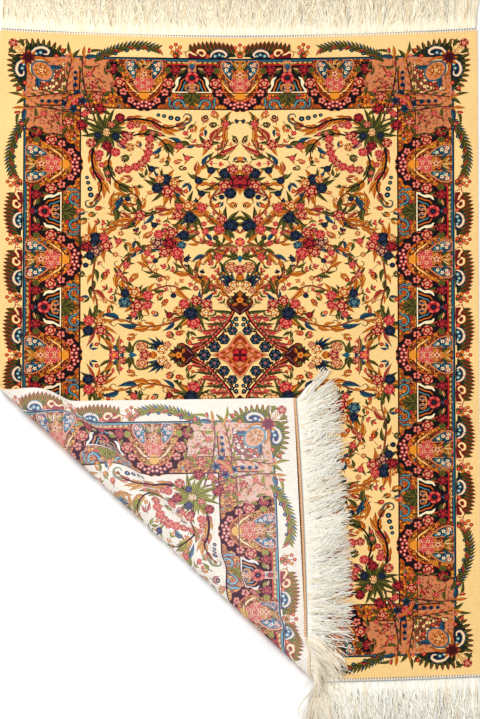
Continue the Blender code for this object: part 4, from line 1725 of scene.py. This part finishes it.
bands = end_band("far_band", (-0.4995, 0.4995), far_end, 1, 21, WHITE_STITCH)
bands += end_band("near_band", (-0.4995, 0.4995), near_end, -1, 22, WHITE_STITCH)
bands += end_band("flap_band", (-0.4995, FLAP_U), near_end, -1, 23, ORANGE_STITCH, False)

# ---------------------------------------------------------------- floor, light and camera
FLOOR_SIZE, FLOOR_DROP = 12, 0.0002
WORLD_STRENGTH, KEY_POWER, FILL_POWER = 0.80, 54, 14
# the photo's view: from above the near end, so far off that the sides stay all but parallel
ELEVATION, DISTANCE = math.radians(65.5), 40.0
VIEW_HEIGHT, SENSOR_WIDTH = 1.498, 36
AIM = Vector((0.003, -0.013, 0.0))

bpy.ops.mesh.primitive_plane_add(size=FLOOR_SIZE, location=(0, 0, -FLOOR_DROP))
floor = bpy.context.object
floor.name = "floor"
floor.data.materials.append(plain_material("floor_white", (250, 250, 250)))


def area_light(name, location, size, power):
    """A round light that shines on the middle of the rug."""
    data = bpy.data.lights.new(name, "AREA")
    data.shape = "DISK"
    data.size = size
    data.energy = power
    lamp = bpy.data.objects.new(name, data)
    lamp.location = location
    lamp.rotation_euler = (-Vector(location)).to_track_quat("-Z", "Y").to_euler()
    bpy.context.scene.collection.objects.link(lamp)


def studio_world():
    world = bpy.data.worlds.new("studio")
    world.use_nodes = True
    set_inputs(world.node_tree.nodes["Background"], {"Color": (1, 1, 1, 1), "Strength": WORLD_STRENGTH})
    bpy.context.scene.world = world


def photo_camera():
    data = bpy.data.cameras.new("camera")
    data.sensor_width = SENSOR_WIDTH
    data.lens = SENSOR_WIDTH * DISTANCE / VIEW_HEIGHT
    data.clip_end = 200
    camera = bpy.data.objects.new("camera", data)
    back_off = Vector((0, -math.cos(ELEVATION), math.sin(ELEVATION)))
    camera.location = AIM + back_off * DISTANCE
    camera.rotation_euler = (-back_off).to_track_quat("-Z", "Y").to_euler()
    bpy.context.scene.collection.objects.link(camera)
    bpy.context.scene.camera = camera


studio_world()
area_light("key", (-1.6, 1.2, 2.6), 1.6, KEY_POWER)
area_light("fill", (1.8, -1.4, 2.4), 2.4, FILL_POWER)
photo_camera()
bpy.context.scene.view_settings.view_transform = "Standard"
